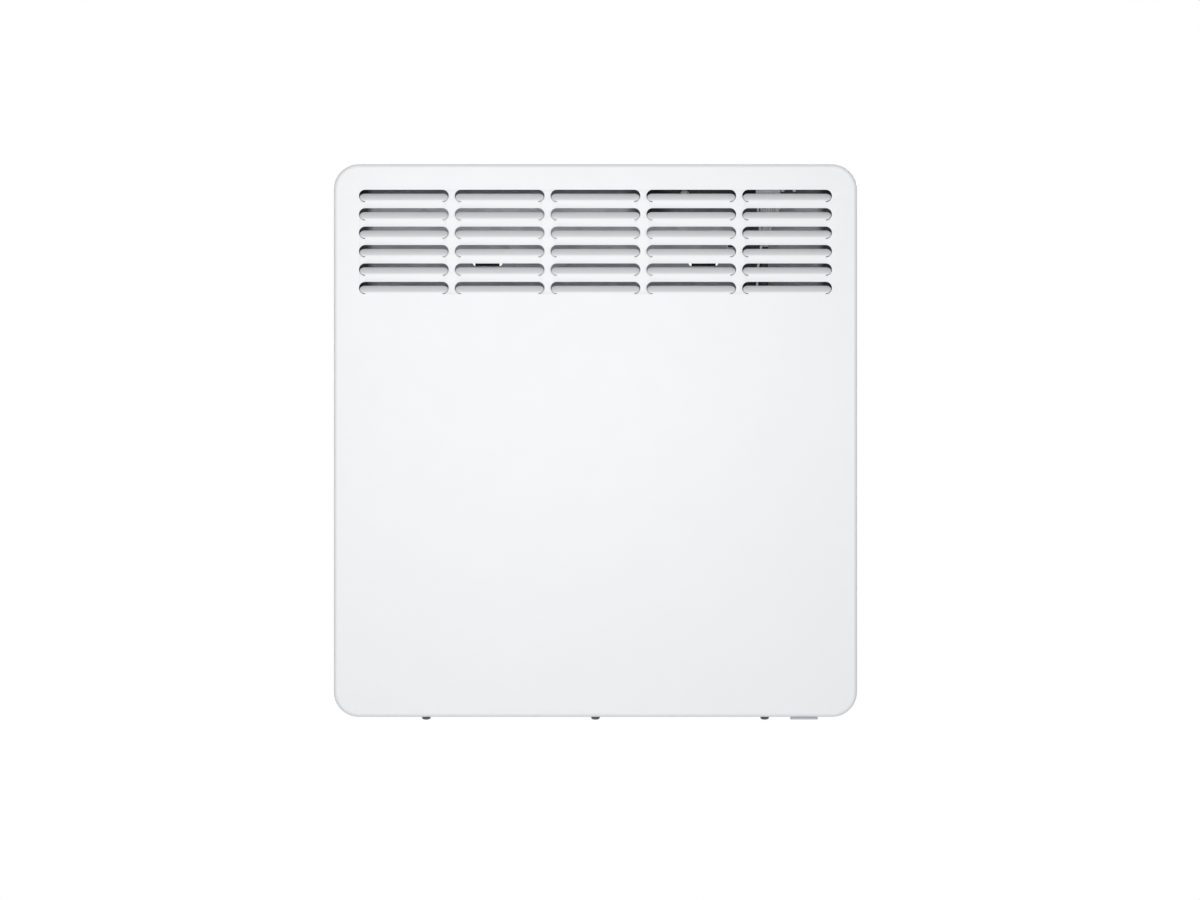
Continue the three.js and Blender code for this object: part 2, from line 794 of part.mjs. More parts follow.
// A channel: its web lies on the wall behind both rails, its flanges run between their feet.
function channel(z, holes = []) {
  const wallY = -bracketSheet / 2;
  const half = channelHeight / 2 - bracketSheet / 2;
  const path = [
    [-channelFlange, z - half],
    [wallY, z - half],
    [wallY, z + half],
    [-channelFlange, z + half],
  ];
  const between = railX - railWidth / 2 - railFoot - seat;
  const reach = railX + railWidth / 2 + railFoot;
  const flat = half - bracketBend - bracketSheet;
  const flanged = sideways(bentSheet(path, bracketSheet, bracketBend), [-between, between]);
  const web = block([-reach, reach], [-bracketSheet, 0], [z - flat, z + flat]);
  return without(joined(flanged, web), holes);
}

function upperChannel() {
  const level = stadium(fixingSlotLength, fixingSlotWidth);
  const slots = [-1, 1].map((side) =>
    frontward(level, [-bracketSheet - 1, 1], [side * fixingX, channelSpacing]),
  );
  return channel(channelSpacing, slots);
}

function lowerChannel() {
  const holes = [-1, 1].map((side) =>
    cylinder(fixingSlotWidth / 2, 4, [side * fixingX, 1, -channelSpacing], toRoom, 20),
  );
  return channel(-channelSpacing, holes);
}

// ---------------------------------------------------------------- latches

function latch(x) {
  const half = latchWidth / 2;
  const stripY = latchY + bracketSheet / 2;
  const ledgeY = springY + springRadius + 1;
  const path = [
    [ledgeY, latchLedgeZ + bracketSheet / 2],
    [stripY, latchLedgeZ + bracketSheet / 2],
    [stripY, latchTopZ - bracketSheet / 2],
    [stripY + latchTab, latchTopZ - bracketSheet / 2],
  ];
  const strip = sideways(bentSheet(path, bracketSheet, bracketBend), [x - half, x + half]);
  const noseMiddleZ = latchNoseZ - bracketSheet / 2;
  const lanced = block(
    [x - noseWidth / 2 - 0.5, x + noseWidth / 2 + 0.5],
    [latchY - 1, latchY + bracketSheet + 1],
    [noseMiddleZ - bracketSheet, noseMiddleZ + latchLance],
  );
  const catchNose = nose(x, stripY, noseMiddleZ - 7, noseMiddleZ, latchSlotTopZ + latchCatch);
  return joined(without(strip, lanced), catchNose);
}

// One wound compression spring. It prints the least gap between its turns.
class Helix extends THREE.Curve {
  constructor(radius, pitch, turns) {
    super();
    Object.assign(this, { radius, pitch, turns });
  }
  getPoint(t, target = new THREE.Vector3()) {
    const angle = t * this.turns * Math.PI * 2;
    return target.set(
      this.radius * Math.cos(angle),
      this.radius * Math.sin(angle),
      t * this.turns * this.pitch,
    );
  }
}

function latchSpring(x) {
  const rise = (springLength - springWire) / springTurns;
  const curve = new Helix(springRadius, rise, springTurns);
  const stepsPerTurn = 8;
  const points = curve.getPoints(springTurns * stepsPerTurn * 2);
  let least = Infinity;
  points.forEach((a, i) => {
    for (let j = i + stepsPerTurn; j < points.length; j++) {
      least = Math.min(least, a.distanceTo(points[j]) - springWire);
    }
  });
  console.log("spring at x = " + x + ": least gap to itself " + least.toFixed(2) + " mm");
  const wound = tubeAlong(curve, springWire / 2, springTurns * stepsPerTurn, 5);
  return wound.translate([x, springY, springBottomZ + springWire / 2]);
}

// ---------------------------------------------------------------- heating element

const elementStartX = holderX + holderSheet / 2 + bushFlangeThickness + seat + 1;
const elementEndX = partitionX - partitionSheet / 2 - bushFlangeThickness - seat - 1;

function heatingFins() {
  const arms = [];
  for (const side of [-1, 1]) {
    for (const rise of [-1, 1]) {
      const arm = new THREE.BoxGeometry(elementEndX - elementStartX, finThickness, finArm);
      arm.translate((elementStartX + elementEndX) / 2, 0, finArm / 2 + coreRadius / 2);
      arm.rotateX(side * finAngle + (rise < 0 ? Math.PI : 0));
      arms.push(solid(arm));
    }
  }
  const core = cylinder(coreRadius, elementEndX - elementStartX, [elementStartX, 0, 0], toRight, 16);
  const bore = cylinder(
    rodRadius + seat,
    elementEndX - elementStartX + 2,
    [elementStartX - 1, 0, 0],
    toRight,
    16,
  );
  const reach = (finArm + coreRadius / 2) * Math.cos(finAngle) + finThickness;
  const notches = [];
  for (let x = elementStartX + finNotchPitch; x < elementEndX - 8; x += finNotchPitch) {
    for (const rise of [-1, 1]) {
      notches.push(
        block([x, x + finNotch], [-40, 40], [rise * (reach - finNotchDepth), rise * (reach + 1)]),
      );
    }
  }
  return without(joined(arms, core), bore, notches).translate([0, elementY, elementZ]);
}

const rodStartX = holderX - holderSheet / 2 - 4;
const rodEndX = partitionX + partitionSheet / 2 + 4;

function heatingRod() {
  const length = rodEndX - rodStartX;
  const profile = [
    [0, -pinLength],
    [pinRadius, -pinLength],
    [pinRadius, 0],
    [rodRadius, 0],
    [rodRadius, length],
    [pinRadius, length],
    [pinRadius, length + pinLength],
    [0, length + pinLength],
  ];
  return turnedAlong(profile, [rodStartX, elementY, elementZ], toRight, 12);
}

// A ceramic ring that carries the rod in a sheet. Its flange is on the element's side.
function rodBush(sheetX, sheet, towards) {
  const bore = rodRadius + seat;
  const body = bushBody / 2 + sheet / 2;
  const profile = [
    [bore, -body],
    [bushRadius, -body],
    [bushRadius, sheet / 2 + seat],
    [bushFlange, sheet / 2 + seat],
    [bushFlange, sheet / 2 + seat + bushFlangeThickness - 0.5],
    [bushFlange - 0.5, sheet / 2 + seat + bushFlangeThickness],
    [bore, sheet / 2 + seat + bushFlangeThickness],
    [bore, -body],
  ];
  return turnedAlong(profile, [sheetX, elementY, elementZ], [towards, 0, 0], 12);
}

function elementHolder() {
  const flangeY = panelFrontY - seat - holderSheet / 2;
  const path = [
    [holderX + holderFlange, flangeY],
    [holderX, flangeY],
    [holderX, flangeY - holderReach],
  ];
  const sheet = upward(bentSheet(path, holderSheet, 1), [
    elementZ - holderHeight / 2,
    elementZ + holderHeight / 2,
  ]);
  const hole = cylinder(bushRadius + seat, 6, [holderX - 3, elementY, elementZ], toRight, 14);
  const screwHoles = holderScrews.map(([x, z]) =>
    cylinder(smallShankRadius + seat, 4, [x, flangeY + 2, z], toRoom, 8),
  );
  return without(sheet, hole, screwHoles);
}

// ---------------------------------------------------------------- partition and cut-out

const cutoutZ = elementZ + 52;
const cutoutRadius = 8;
const cutoutTabEnd = 16; // from the cut-out's flange
const cutoutTabRise = 4;
const grommetZ = cableAt[1];
const grommetY = -40;
const grommetRadius = 5;
const clipHeights = [topZ - 155, bottomZ + 165];
const clipPeg = 1.8;
const clipWall = 1.4;

function partition() {
  const flangeY = panelFrontY - seat - partitionSheet / 2;
  const path = [
    [partitionX + partitionFlange, flangeY],
    [partitionX, flangeY],
    [partitionX, flangeY - partitionReach],
  ];
  const sheet = upward(bentSheet(path, partitionSheet, 1), [partitionBottomZ, partitionTopZ]);
  const hole = (radius, y, z, sides) =>
    cylinder(radius + seat, 6, [partitionX - 3, y, z], toRight, sides);
  const holes = [
    hole(bushRadius, elementY, elementZ, 14),
    hole(cutoutRadius, elementY, cutoutZ, 14),
    hole(grommetRadius - 1.5, grommetY, grommetZ, 10),
    ...clipHeights.map((z) => hole(clipPeg, loomY, z, 8)),
  ];
  const screwHoles = partitionScrews.map(([x, z]) =>
    cylinder(smallShankRadius + seat, 4, [x, flangeY + 2, z], toRoom, 8),
  );
  // notches, where a wider or narrower casing puts the partition behind a column of louvres
  const half = louvreHeight / 2;
  const flapRoom = louvrePlaces.map(([x, z]) =>
    block(
      [x - louvreLength / 2 - casingSheet, x + louvreLength / 2 + casingSheet],
      [frontY, frontY + louvreHeight],
      [z - half - casingSheet, z + half + casingSheet],
    ),
  );
  return without(sheet, holes, screwHoles, flapRoom);
}

function thermalCutout() {
  const faceX = partitionX + partitionSheet / 2 + seat;
  const can = turnedAlong(
    [
      [0, -5],
      [cutoutRadius - 1, -5],
      [cutoutRadius, -4],
      [cutoutRadius, 0],
      [cutoutRadius + 3, 0],
      [cutoutRadius + 3, 1],
      [cutoutRadius, 1],
      [cutoutRadius, 8],
      [0, 8],
    ],
    [faceX, elementY, cutoutZ],
    toRight,
    14,
  );
  const terminals = [-cutoutTabRise, cutoutTabRise].map((z) =>
    block(
      [faceX + 7, faceX + cutoutTabEnd],
      [elementY - 0.4, elementY + 0.4],
      [cutoutZ + z - 1.6, cutoutZ + z + 1.6],
    ),
  );
  return joined(can, terminals);
}

// A rubber ring that lines a round hole in a sheet, with a groove for the sheet's edge.
function grommet(radius, bore, sheet, start, direction, sides) {
  const half = sheet / 2 + seat;
  const lipThickness = 1.6;
  const groove = radius - 1.5 - seat;
  return turnedAlong(
    [
      [bore, -half - lipThickness],
      [radius - 0.6, -half - lipThickness],
      [radius, -half - lipThickness + 0.6],
      [radius, -half],
      [groove, -half],
      [groove, half],
      [radius, half],
      [radius, half + lipThickness - 0.6],
      [radius - 0.6, half + lipThickness],
      [bore, half + lipThickness],
      [bore, -half - lipThickness],
    ],
    start,
    direction,
    sides,
  );
}

// ---------------------------------------------------------------- control unit

const displayX = bezelX - 12;
const buttonY = bezelY - bezelDepth / 2 + 8;
const buttonXs = [0, 1, 2, 3].map((i) => bezelX + (i - 1.5) * buttonPitch);
const displayY = bezelY + 5.5;

function controlHousing() {
  const outerX = [
    bezelX - bezelWidth / 2 - housingMargin,
    bezelX + bezelWidth / 2 + housingMargin,
  ];
  const outerY = [
    bezelY - bezelDepth / 2 - housingMargin,
    bezelY + bezelDepth / 2 + housingMargin,
  ];
  const width = outerX[1] - outerX[0];
  const depth = outerY[1] - outerY[0];
  const corner = bezelCorner + housingMargin;
  const tray = without(
    upward(roundedRectangle(width, depth, corner), [housingBottomZ, housingTopZ], [bezelX, bezelY]),
    upward(
      roundedRectangle(width - 2 * housingWall, depth - 2 * housingWall, corner - housingWall),
      [housingBottomZ + housingWall, housingTopZ + 1],
      [bezelX, bezelY],
    ),
  );
  const arms = controlFootXs.map((x) =>
    block(
      [x - armWidth / 2, x + armWidth / 2],
      [armYs[1] - 0.5, armYs[0] - footThickness / 2],
      [housingBottomZ, housingTopZ],
    ),
  );
  const feet = controlFootXs.map((x) =>
    block(
      [x - footWidth / 2, x + footWidth / 2],
      [armYs[0] - footThickness, armYs[0]],
      [housingBottomZ, housingTopZ],
    ),
  );
  const posts = [];
  for (const x of [-1, 1]) {
    for (const y of [-1, 1]) {
      posts.push(
        cylinder(
          2.2,
          boardPost + 0.5,
          [bezelX + x * (bezelWidth / 2 - 6), bezelY + y * (bezelDepth / 2 - 6), boardZ - seat],
          down,
          10,
        ),
      );
    }
  }
  const pegs = pegOffsets.map((offset) =>
    cylinder(pegRadius, pegLength + 0.5, [plugX + offset, loomY, housingBottomZ + 0.5], down, 8),
  );
  const screwHoles = controlFootXs.map((x) =>
    cylinder(smallShankRadius + seat, 14, [x, armYs[0] + 1, footZ], toRoom, 12),
  );
  const vents = [];
  for (let i = 0; i < 3; i++) {
    const x = bezelX + 10 + i * 6;
    vents.push(block([x, x + 2], [bezelY - 10, bezelY + 10], [housingBottomZ - 1, boardZ - 3]));
  }
  return without(joined(tray, arms, feet, posts, pegs), screwHoles, vents);
}

function bezel() {
  const plate = upward(
    roundedRectangle(bezelWidth, bezelDepth, bezelCorner),
    [bezelBottomZ, bezelTopZ],
    [bezelX, bezelY],
  );
  const skirtInset = housingMargin + housingWall + seat + 0.3;
  const skirt = without(
    upward(
      roundedRectangle(
        bezelWidth + 2 * housingMargin - 2 * (housingWall + seat),
        bezelDepth + 2 * housingMargin - 2 * (housingWall + seat),
        bezelCorner - 1,
      ),
      [bezelBottomZ - 3, bezelBottomZ + 0.5],
      [bezelX, bezelY],
    ),
    upward(
      roundedRectangle(
        bezelWidth - 2 * skirtInset,
        bezelDepth - 2 * skirtInset,
        bezelCorner - 1.5,
      ),
      [bezelBottomZ - 4, bezelBottomZ],
      [bezelX, bezelY],
    ),
  );
  const windowRecess = upward(
    roundedRectangle(displayWidth + 2, displayDepth + 2, 1.6),
    [bezelTopZ - displayRecess - seat, bezelTopZ + 1],
    [displayX, displayY],
    2,
  );
  const windowHole = upward(
    roundedRectangle(displayWidth - 2, displayDepth - 2, 1),
    [bezelBottomZ - 1, bezelTopZ + 1],
    [displayX, displayY],
    1,
  );
  const buttonHoles = buttonXs.map((x) =>
    upward(
      roundedRectangle(buttonWidth + 2 * buttonSide, buttonDepth + 2 * buttonSide, buttonCorner),
      [bezelBottomZ - 1, bezelTopZ + 1],
      [x, buttonY],
      2,
    ),
  );
  return without(joined(plate, skirt), windowRecess, windowHole, buttonHoles);
}

function displayWindow() {
  return upward(
    roundedRectangle(displayWidth + 2 - 2 * seat, displayDepth + 2 - 2 * seat, 1.4),
    [bezelTopZ - displayRecess, bezelTopZ],
    [displayX, displayY],
    2,
  );
}

function displayModule() {
  return block(
    [displayX - displayWidth / 2 - 2, displayX + displayWidth / 2 + 2],
    [displayY - displayDepth / 2 - 1, displayY + displayDepth / 2 + 1],
    [boardTopZ + seat, bezelBottomZ - seat],
  );
}

function controlBoard() {
  const inset = housingWall - housingMargin + boardGap;
  const board = upward(
    roundedRectangle(bezelWidth - 2 * inset, bezelDepth - 2 * inset, 2.5),
    [boardZ, boardTopZ],
    [bezelX, bezelY],
    3,
  );
  return board;
}

function button(x) {
  const cap = upward(
    roundedRectangle(buttonWidth, buttonDepth, buttonCorner - buttonSide),
    [bezelBottomZ - seat - buttonFlange / 2, topZ],
    [x, buttonY],
    2,
  );
  const flange = upward(
    roundedRectangle(buttonWidth + 2, buttonDepth + 2, buttonCorner),
    [bezelBottomZ - seat - buttonFlange, bezelBottomZ - seat],
    [x, buttonY],
    2,
  );
  const plungerEnd = boardTopZ + seat + tactHeight + buttonTravel + seat;
  const plunger = cylinder(
    1.8,
    bezelBottomZ - seat - plungerEnd,
    [x, buttonY, plungerEnd],
    up,
    8,
  );
  return joined(cap, flange, plunger);
}

function tactSwitch(x) {
  const half = tactWidth / 2;
  const base = boardTopZ + seat;
  const body = block([x - half, x + half], [buttonY - half, buttonY + half], [
    base,
    base + tactHeight - 0.4,
  ]);
  const stem = cylinder(1.7, 1, [x, buttonY, base + tactHeight - 1], up, 10);
  return joined(body, stem);
}

// ---------------------------------------------------------------- main switch

function switchHousing() {
  const frame = upward(
    roundedRectangle(switchFrameWidth, switchFrameDepth, switchFrameCorner),
    [switchFrameBottomZ, switchFrameTopZ],
    [switchX, lipMiddleY],
    4,
  );
  const body = block(
    [switchX - switchBodyWidth / 2, switchX + switchBodyWidth / 2],
    [lipMiddleY - switchBodyDepth / 2, lipMiddleY + switchBodyDepth / 2],
    [switchFrameTopZ - 0.5, switchFrameTopZ + switchBodyHeight],
  );
  const well = block(
    [switchX - rockerWidth / 2 - 2 * rockerSide, switchX + rockerWidth / 2 + 2 * rockerSide],
    [lipMiddleY - rockerDepth / 2 - rockerSide, lipMiddleY + rockerDepth / 2 + rockerSide],
    [switchFrameBottomZ - 1, rockerPivotZ + 6.5],
  );
  const pinHole = cylinder(
    rockerPin + seat,
    rockerDepth + 3,
    [switchX, lipMiddleY - rockerDepth / 2 - 1.5, rockerPivotZ],
    toWall,
    12,
  );
  const terminals = [-5, 0, 5].map((x) =>
    block(
      [switchX + x - 0.4, switchX + x + 0.4],
      [lipMiddleY - 2.4, lipMiddleY + 2.4],
      [
        switchFrameTopZ + switchBodyHeight - 1,
        switchFrameTopZ + switchBodyHeight + switchTabLength,
      ],
    ),
  );
  return joined(without(joined(frame, body), well, pinHole), terminals);
}

// The rocker: a shallow V that faces down, pressed in at its left end.
function rocker() {
  const half = rockerWidth / 2;
  const face = switchFrameBottomZ + 0.9 - rockerPivotZ;
  const outline = new THREE.Shape();
  outline.moveTo(-half, face + 0.35);
  outline.quadraticCurveTo(-half / 2, face + 0.75, 0, face + 1.1);
  outline.quadraticCurveTo(half / 2, face + 0.75, half, face + 0.35);
  outline.lineTo(half - 0.3, 0.6);
  outline.lineTo(half - 3, 3.4);
  outline.lineTo(-half + 3, 3.4);
  outline.lineTo(-half + 0.3, 0.6);
  outline.closePath();
  const geometry = extrusion(outline, rockerDepth, 4);
  geometry.rotateX(Math.PI / 2);
  geometry.translate(0, rockerDepth / 2, 0);
  const body = solid(geometry);
  const pins = cylinder(
    rockerPin,
    rockerDepth + 2,
    [0, -rockerDepth / 2 - 1, 0],
    toWall,
    12,
  );
  const turn = (rockerTilt * 180) / Math.PI;
  return joined(body, pins).rotate([0, turn, 0]).translate([switchX, lipMiddleY, rockerPivotZ]);
}

// ---------------------------------------------------------------- fasteners

function bottomScrew(x) {
  const headZ = bottomZ - seat;
  const profile = [
    [0, -screwHeadHeight],
    [screwHeadRadius * 0.45, -screwHeadHeight],
    [screwHeadRadius * 0.8, -screwHeadHeight * 0.85],
    [screwHeadRadius, -screwHeadHeight * 0.45],
    [screwHeadRadius, 0],
    [screwShankRadius, 0],
    [screwShankRadius, screwLength - 1.5],
    [screwShankRadius * 0.4, screwLength],
    [0, screwLength],
  ];
  return turnedAlong(profile, [x, lipMiddleY, headZ], up, 10);
}

function panelScrew([x, z], length = smallScrewLength, sides = 8) {
  const profile = [
    [0, -smallHeadHeight],
    [smallHeadRadius * 0.6, -smallHeadHeight * 0.9],
    [smallHeadRadius, -smallHeadHeight * 0.4],
    [smallHeadRadius, 0],
    [smallShankRadius, 0],
    [smallShankRadius, length],
    [0, length],
  ];
  return turnedAlong(profile, [x, panelBackY + seat, z], toRoom, sides);
}

// The earth screw faces the room. Its nut side is on the panel's back.
function earthScrew() {
  const headRadius = 3.6;
  const profile = [
    [0, -3],
    [headRadius * 0.7, -2.7],
    [headRadius, -1.6],
    [headRadius, 0],
    [smallShankRadius, 0],
    [smallShankRadius, 5],
    [0, 5],
  ];
  return turnedAlong(profile, [earthAt[0], panelFrontY - seat, earthAt[1]], toWall, 12);
}

// ---------------------------------------------------------------- terminals, sensor and wires

const terminalWidth = 36;
const terminalHeight = 18;
const terminalDepth = 15;
const terminalPitch = 11;
const terminalTopZ = terminalAt[1] + terminalHeight / 2;
const entryY = panelFrontY - seat - 5.5;
const wireEntries = [-1, 0, 1].map((i) => [terminalAt[0] + i * terminalPitch, terminalAt[1]]);

function terminalBlock() {
  const [x, z] = terminalAt;
  const backY = panelFrontY - seat;
  const base = block(
    [x - terminalWidth / 2, x + terminalWidth / 2],
    [backY - terminalDepth * 0.6, backY],
    [z - terminalHeight / 2, z + terminalHeight / 2],
  );
  const ridge = block(
    [x - terminalWidth / 2, x + terminalWidth / 2],
    [backY - terminalDepth, backY - 2],
    [z - terminalHeight / 4, z + terminalHeight / 4],
  );
  const wells = wireEntries.map(([wellX]) =>
    cylinder(2.6, 6, [wellX, backY - terminalDepth - 1, z], toWall, 8),
  );
  const entries = wireEntries.flatMap(([entryX]) =>
    [-1, 1].map((side) =>
      cylinder(
        2,
        5,
        [entryX, entryY, z + side * (terminalHeight / 2 + 1)],
        side > 0 ? down : up,
        6,
      ),
    ),
  );
  const screwHole = cylinder(smallShankRadius + seat, 5, [x, backY + 1, z], toRoom, 12);
  return without(joined(base, ridge), wells, entries, screwHole);
}

const sensorX = partitionX + 33;
const sensorY = -50;
const sensorLength = 16;
const sensorZ = shelfTopZ + 12;

function sensorClip() {
  const foot = block(
    [sensorX - 7, sensorX + 7],
    [sensorY - 3, sensorY + 3],
    [shelfTopZ + seat, shelfTopZ + seat + 1.6],
  );
  const ring = without(
    cylinder(4.6, 5, [sensorX, sensorY - 2.5, sensorZ], toWall, 16),
    cylinder(2.8, 7, [sensorX, sensorY - 3.5, sensorZ], toWall, 16),
    block([sensorX - 1.6, sensorX + 1.6], [sensorY - 4, sensorY + 4], [sensorZ, sensorZ + 8]),
  );
  const stem = block(
    [sensorX - 1.2, sensorX + 1.2],
    [sensorY - 2.5, sensorY + 2.5],
    [shelfTopZ + seat + 1, sensorZ - 3.4],
  );
  return joined(foot, ring, stem);
}

function roomSensor() {
  const profile = [
    [0, 0],
    [1.6, 0.4],
    [2.5, 1.8],
    [2.5, sensorLength - 2],
    [1.4, sensorLength],
    [0, sensorLength],
  ];
  return turnedAlong(profile, [sensorX, sensorY + sensorLength / 2, sensorZ], toRoom, 12);
}

const plugBottomZ = plugTopZ - plugHeight;
const wellZ = plugBottomZ + 1.5; // where the wires end inside the plug
const sleeveRing = 1.9; // the wires' circle in the sleeve's mouth

function wireTopX(i) {
  return plugX + (i - (plugWires - 1) / 2) * loomPitch;
}

function controlPlug() {
  const body = block(
    [plugX - plugWidth / 2, plugX + plugWidth / 2],
    [loomY - plugDepth / 2, loomY + plugDepth / 2],
    [plugBottomZ, plugTopZ],
  );
  const wells = [];
  for (let i = 0; i < plugWires; i++) {
    wells.push(cylinder(wireRadius + seat, 3, [wireTopX(i), loomY, plugBottomZ - 1], up, 8));
  }
  const key = block(
    [plugX - 4, plugX + 4],
    [loomY - plugDepth / 2 - 1.2, loomY - plugDepth / 2 + 0.5],
    [plugBottomZ + 2, plugTopZ],
  );
  return without(joined(body, key), wells);
}

// One of the four wires that run from the plug into the sleeve.
function loomWire(i) {
  const angle = THREE.MathUtils.degToRad([135, 225, 45, 315][i]);
  const endX = loomX + sleeveRing * Math.cos(angle);
  const endY = loomY + sleeveRing * Math.sin(angle);
  const topX = wireTopX(i + 1);
  return tube(
    [
      [topX, loomY, wellZ],
      [topX, loomY, wellZ - 6],
      [(topX * 3 + endX) / 4, loomY, wellZ - 15],
      [(topX + endX) / 2, (loomY + endY) / 2, loomTopZ + 14],
      [endX, endY, loomTopZ + 4],
      [endX, endY, loomTopZ + seat],
    ],
    wireRadius,
    10,
  );
}

// The sleeve hangs straight past its clips and then turns to the terminal block.
function loomSleeve() {
  const straightEndZ = clipHeights[1] - 15;
  const [terminalX] = wireEntries[0];
  const straight = cylinder(
    sleeveRadius,
    loomTopZ - straightEndZ,
    [loomX, loomY, straightEndZ],
    up,
    8,
  );
  const turn = tube(
    [
      [loomX, loomY, straightEndZ + 1],
      [loomX + 0.5, loomY + 0.3, straightEndZ - 8],
      [loomX + 8, loomY + 12, terminalAt[1] + 45],
      [terminalX + 1, loomY + 36, terminalAt[1] + 24],
      [terminalX, entryY, terminalAt[1] + 16],
      [terminalX, entryY, terminalTopZ + seat],
    ],
    sleeveRadius,
    9,
    8,
  );
  return joined(straight, turn);
}

// The thin lead of the room sensor: down beside the sleeve, then back to the sensor's end.
function sensorLead() {
  const leadX = loomX - 5;
  const leadY = loomY - 5;
  return tube(
    [
      [wireTopX(0), loomY, wellZ],
      [wireTopX(0), loomY, wellZ - 6],
      [leadX + 1.6, leadY + 1.5, loomTopZ + 14],
      [leadX + 2.4, leadY, loomTopZ - 1],
      [leadX, leadY, loomTopZ - 17],
      [leadX, leadY, 0],
      [leadX, leadY, sensorZ + 60],
      [leadX + 1.5, leadY + 1, sensorZ + 22],
      [sensorX - 8, sensorY - 28, sensorZ + 5],
      [sensorX - 1, sensorY - 18, sensorZ],
      [sensorX, sensorY - sensorLength / 2 - seat, sensorZ],
    ],
    wireRadius,
    24,
    4,
  );
}

// A clip pegged into the partition that holds the sleeve.
function loomClip(z) {
  const ring = without(
    cylinder(sleeveRadius + seat + clipWall, 6, [loomX, loomY, z - 3], up, 16),
    cylinder(sleeveRadius + seat, 8, [loomX, loomY, z - 4], up, 16),
  );
  const stem = block(
    [partitionX + partitionSheet / 2 + seat, loomX - sleeveRadius - seat - clipWall / 2],
    [loomY - 2, loomY + 2],
    [z - 3, z + 3],
  );
  const peg = cylinder(clipPeg, 5, [partitionX - 3, loomY, z], toRight, 10);
  return joined(stem, ring, peg);
}

// ---------------------------------------------------------------- assembly

const heater = new THREE.Group();
heater.name = "convector_heater";

function group(name, ...pieces) {
  const made = new THREE.Group();
  made.name = name;
  made.add(...pieces);
  heater.add(made);
}

group(
  "casing",
  piece("front_casing", frontCasing(), whitePaint),
  piece("rear_panel", rearPanel(), zincSheet),
  ...bottomScrewXs().map((x, i) =>
    piece("bottom_screw_" + ["left", "middle", "right"][i], bottomScrew(x), darkSteel),
  ),
);

group(
  "wall_mounting",
  piece("bracket_rail_left", railWithFittings(-railX), zincSheet),
  piece("bracket_rail_right", railWithFittings(railX), zincSheet),
  piece("bracket_channel_upper", upperChannel(), zincSheet),
  piece("bracket_channel_middle", channel(0), zincSheet),
  piece("bracket_channel_lower", lowerChannel(), zincSheet),
  piece("latch_left", latch(-railX), blackSteel),
  piece("latch_right", latch(railX), blackSteel),
  piece("latch_spring_left", latchSpring(-railX), steel),
  piece("latch_spring_right", latchSpring(railX), steel),
);

group(
  "heating",
  piece("heating_fins", heatingFins(), aluminium),
  piece("heating_rod", heatingRod(), steel),
  piece("rod_bush_left", rodBush(holderX, holderSheet, 1), ceramic),
  piece("rod_bush_right", rodBush(partitionX, partitionSheet, -1), ceramic),
  piece("element_holder", elementHolder(), zincSheet),
  piece("partition", partition(), zincSheet),
  piece("thermal_cutout", thermalCutout(), darkPlastic),
);

group(
  "control_unit",
  piece("control_bezel", bezel(), greyPlastic),
  piece("control_housing", controlHousing(), greyPlastic),
  piece("control_board", controlBoard(), boardGreen),
  piece("display_window", displayWindow(), clearPlastic),
  piece("display_module", displayModule(), displayGrey),
  ...["menu", "minus", "plus", "confirm"].flatMap((use, i) => [
    piece("button_" + use, button(buttonXs[i]), greyPlastic),
    piece("button_switch_" + use, tactSwitch(buttonXs[i]), darkPlastic),
  ]),
);

group(
  "main_switch",
  piece("switch_housing", switchHousing(), greyPlastic),
  piece("switch_rocker", rocker(), greyPlastic),
);

group(
  "wiring",
  piece("control_plug", controlPlug(), greyPlastic),
  ...[0, 1, 2, 3].map((i) =>
    piece("loom_wire_" + (i + 1), loomWire(i), i % 2 ? whiteWire : greyWire),
  ),
  piece("sensor_lead", sensorLead(), whiteWire),
  piece("loom_sleeve", loomSleeve(), blackRubber),
  ...clipHeights.map((z, i) =>
    piece("loom_clip_" + ["upper", "lower"][i], loomClip(z), darkPlastic),
  ),
  piece("terminal_block", terminalBlock(), darkPlastic),
  piece(
    "cable_bush",
    grommet(
      cableBushRadius,
      cableBore,
      panelSheet,
      [cableAt[0], (panelBackY + panelFrontY) / 2, cableAt[1]],
      toWall,
      16,
    ),
    blackRubber,
  ),
  piece(
    "lead_grommet",
    grommet(
      grommetRadius,
      grommetBore,
      partitionSheet,
      [partitionX, grommetY, grommetZ],
      toRight,
      10,
    ),
    blackRubber,
  ),
  piece("sensor_clip", sensorClip(), greyPlastic),
  piece("room_sensor", roomSensor(), darkPlastic),
);

group(
  "panel_fasteners",
  ...controlFootXs.map((x, i) =>
    piece("control_screw_" + ["left", "right"][i], panelScrew([x, footZ]), steel),
  ),
  ...holderScrews.map((at, i) =>
    piece("holder_screw_" + ["lower", "upper"][i], panelScrew(at, 4), steel),
  ),
  ...partitionScrews.map((at, i) =>
    piece("partition_screw_" + ["lower", "middle", "upper"][i], panelScrew(at, 4), steel),
  ),
  piece("terminal_screw", panelScrew(terminalAt, 4.5), steel),
  piece("earth_screw", earthScrew(), steel),
);

export default heater;
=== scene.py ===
# %% [markdown]
# # A wall convector heater
# The heater is a shallow tray of white painted sheet steel that hangs on a galvanised bracket.
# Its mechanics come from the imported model, which is loaded as a fixed frame in metres: +X to the
# right of someone who faces the heater, +Y into the wall, +Z up. This lesson gives every surface
# its finish and models finer versions of the pieces whose shape shows.

# %% Load the frame
import json
import math

import bmesh
import bpy
from mathutils import Matrix, Vector


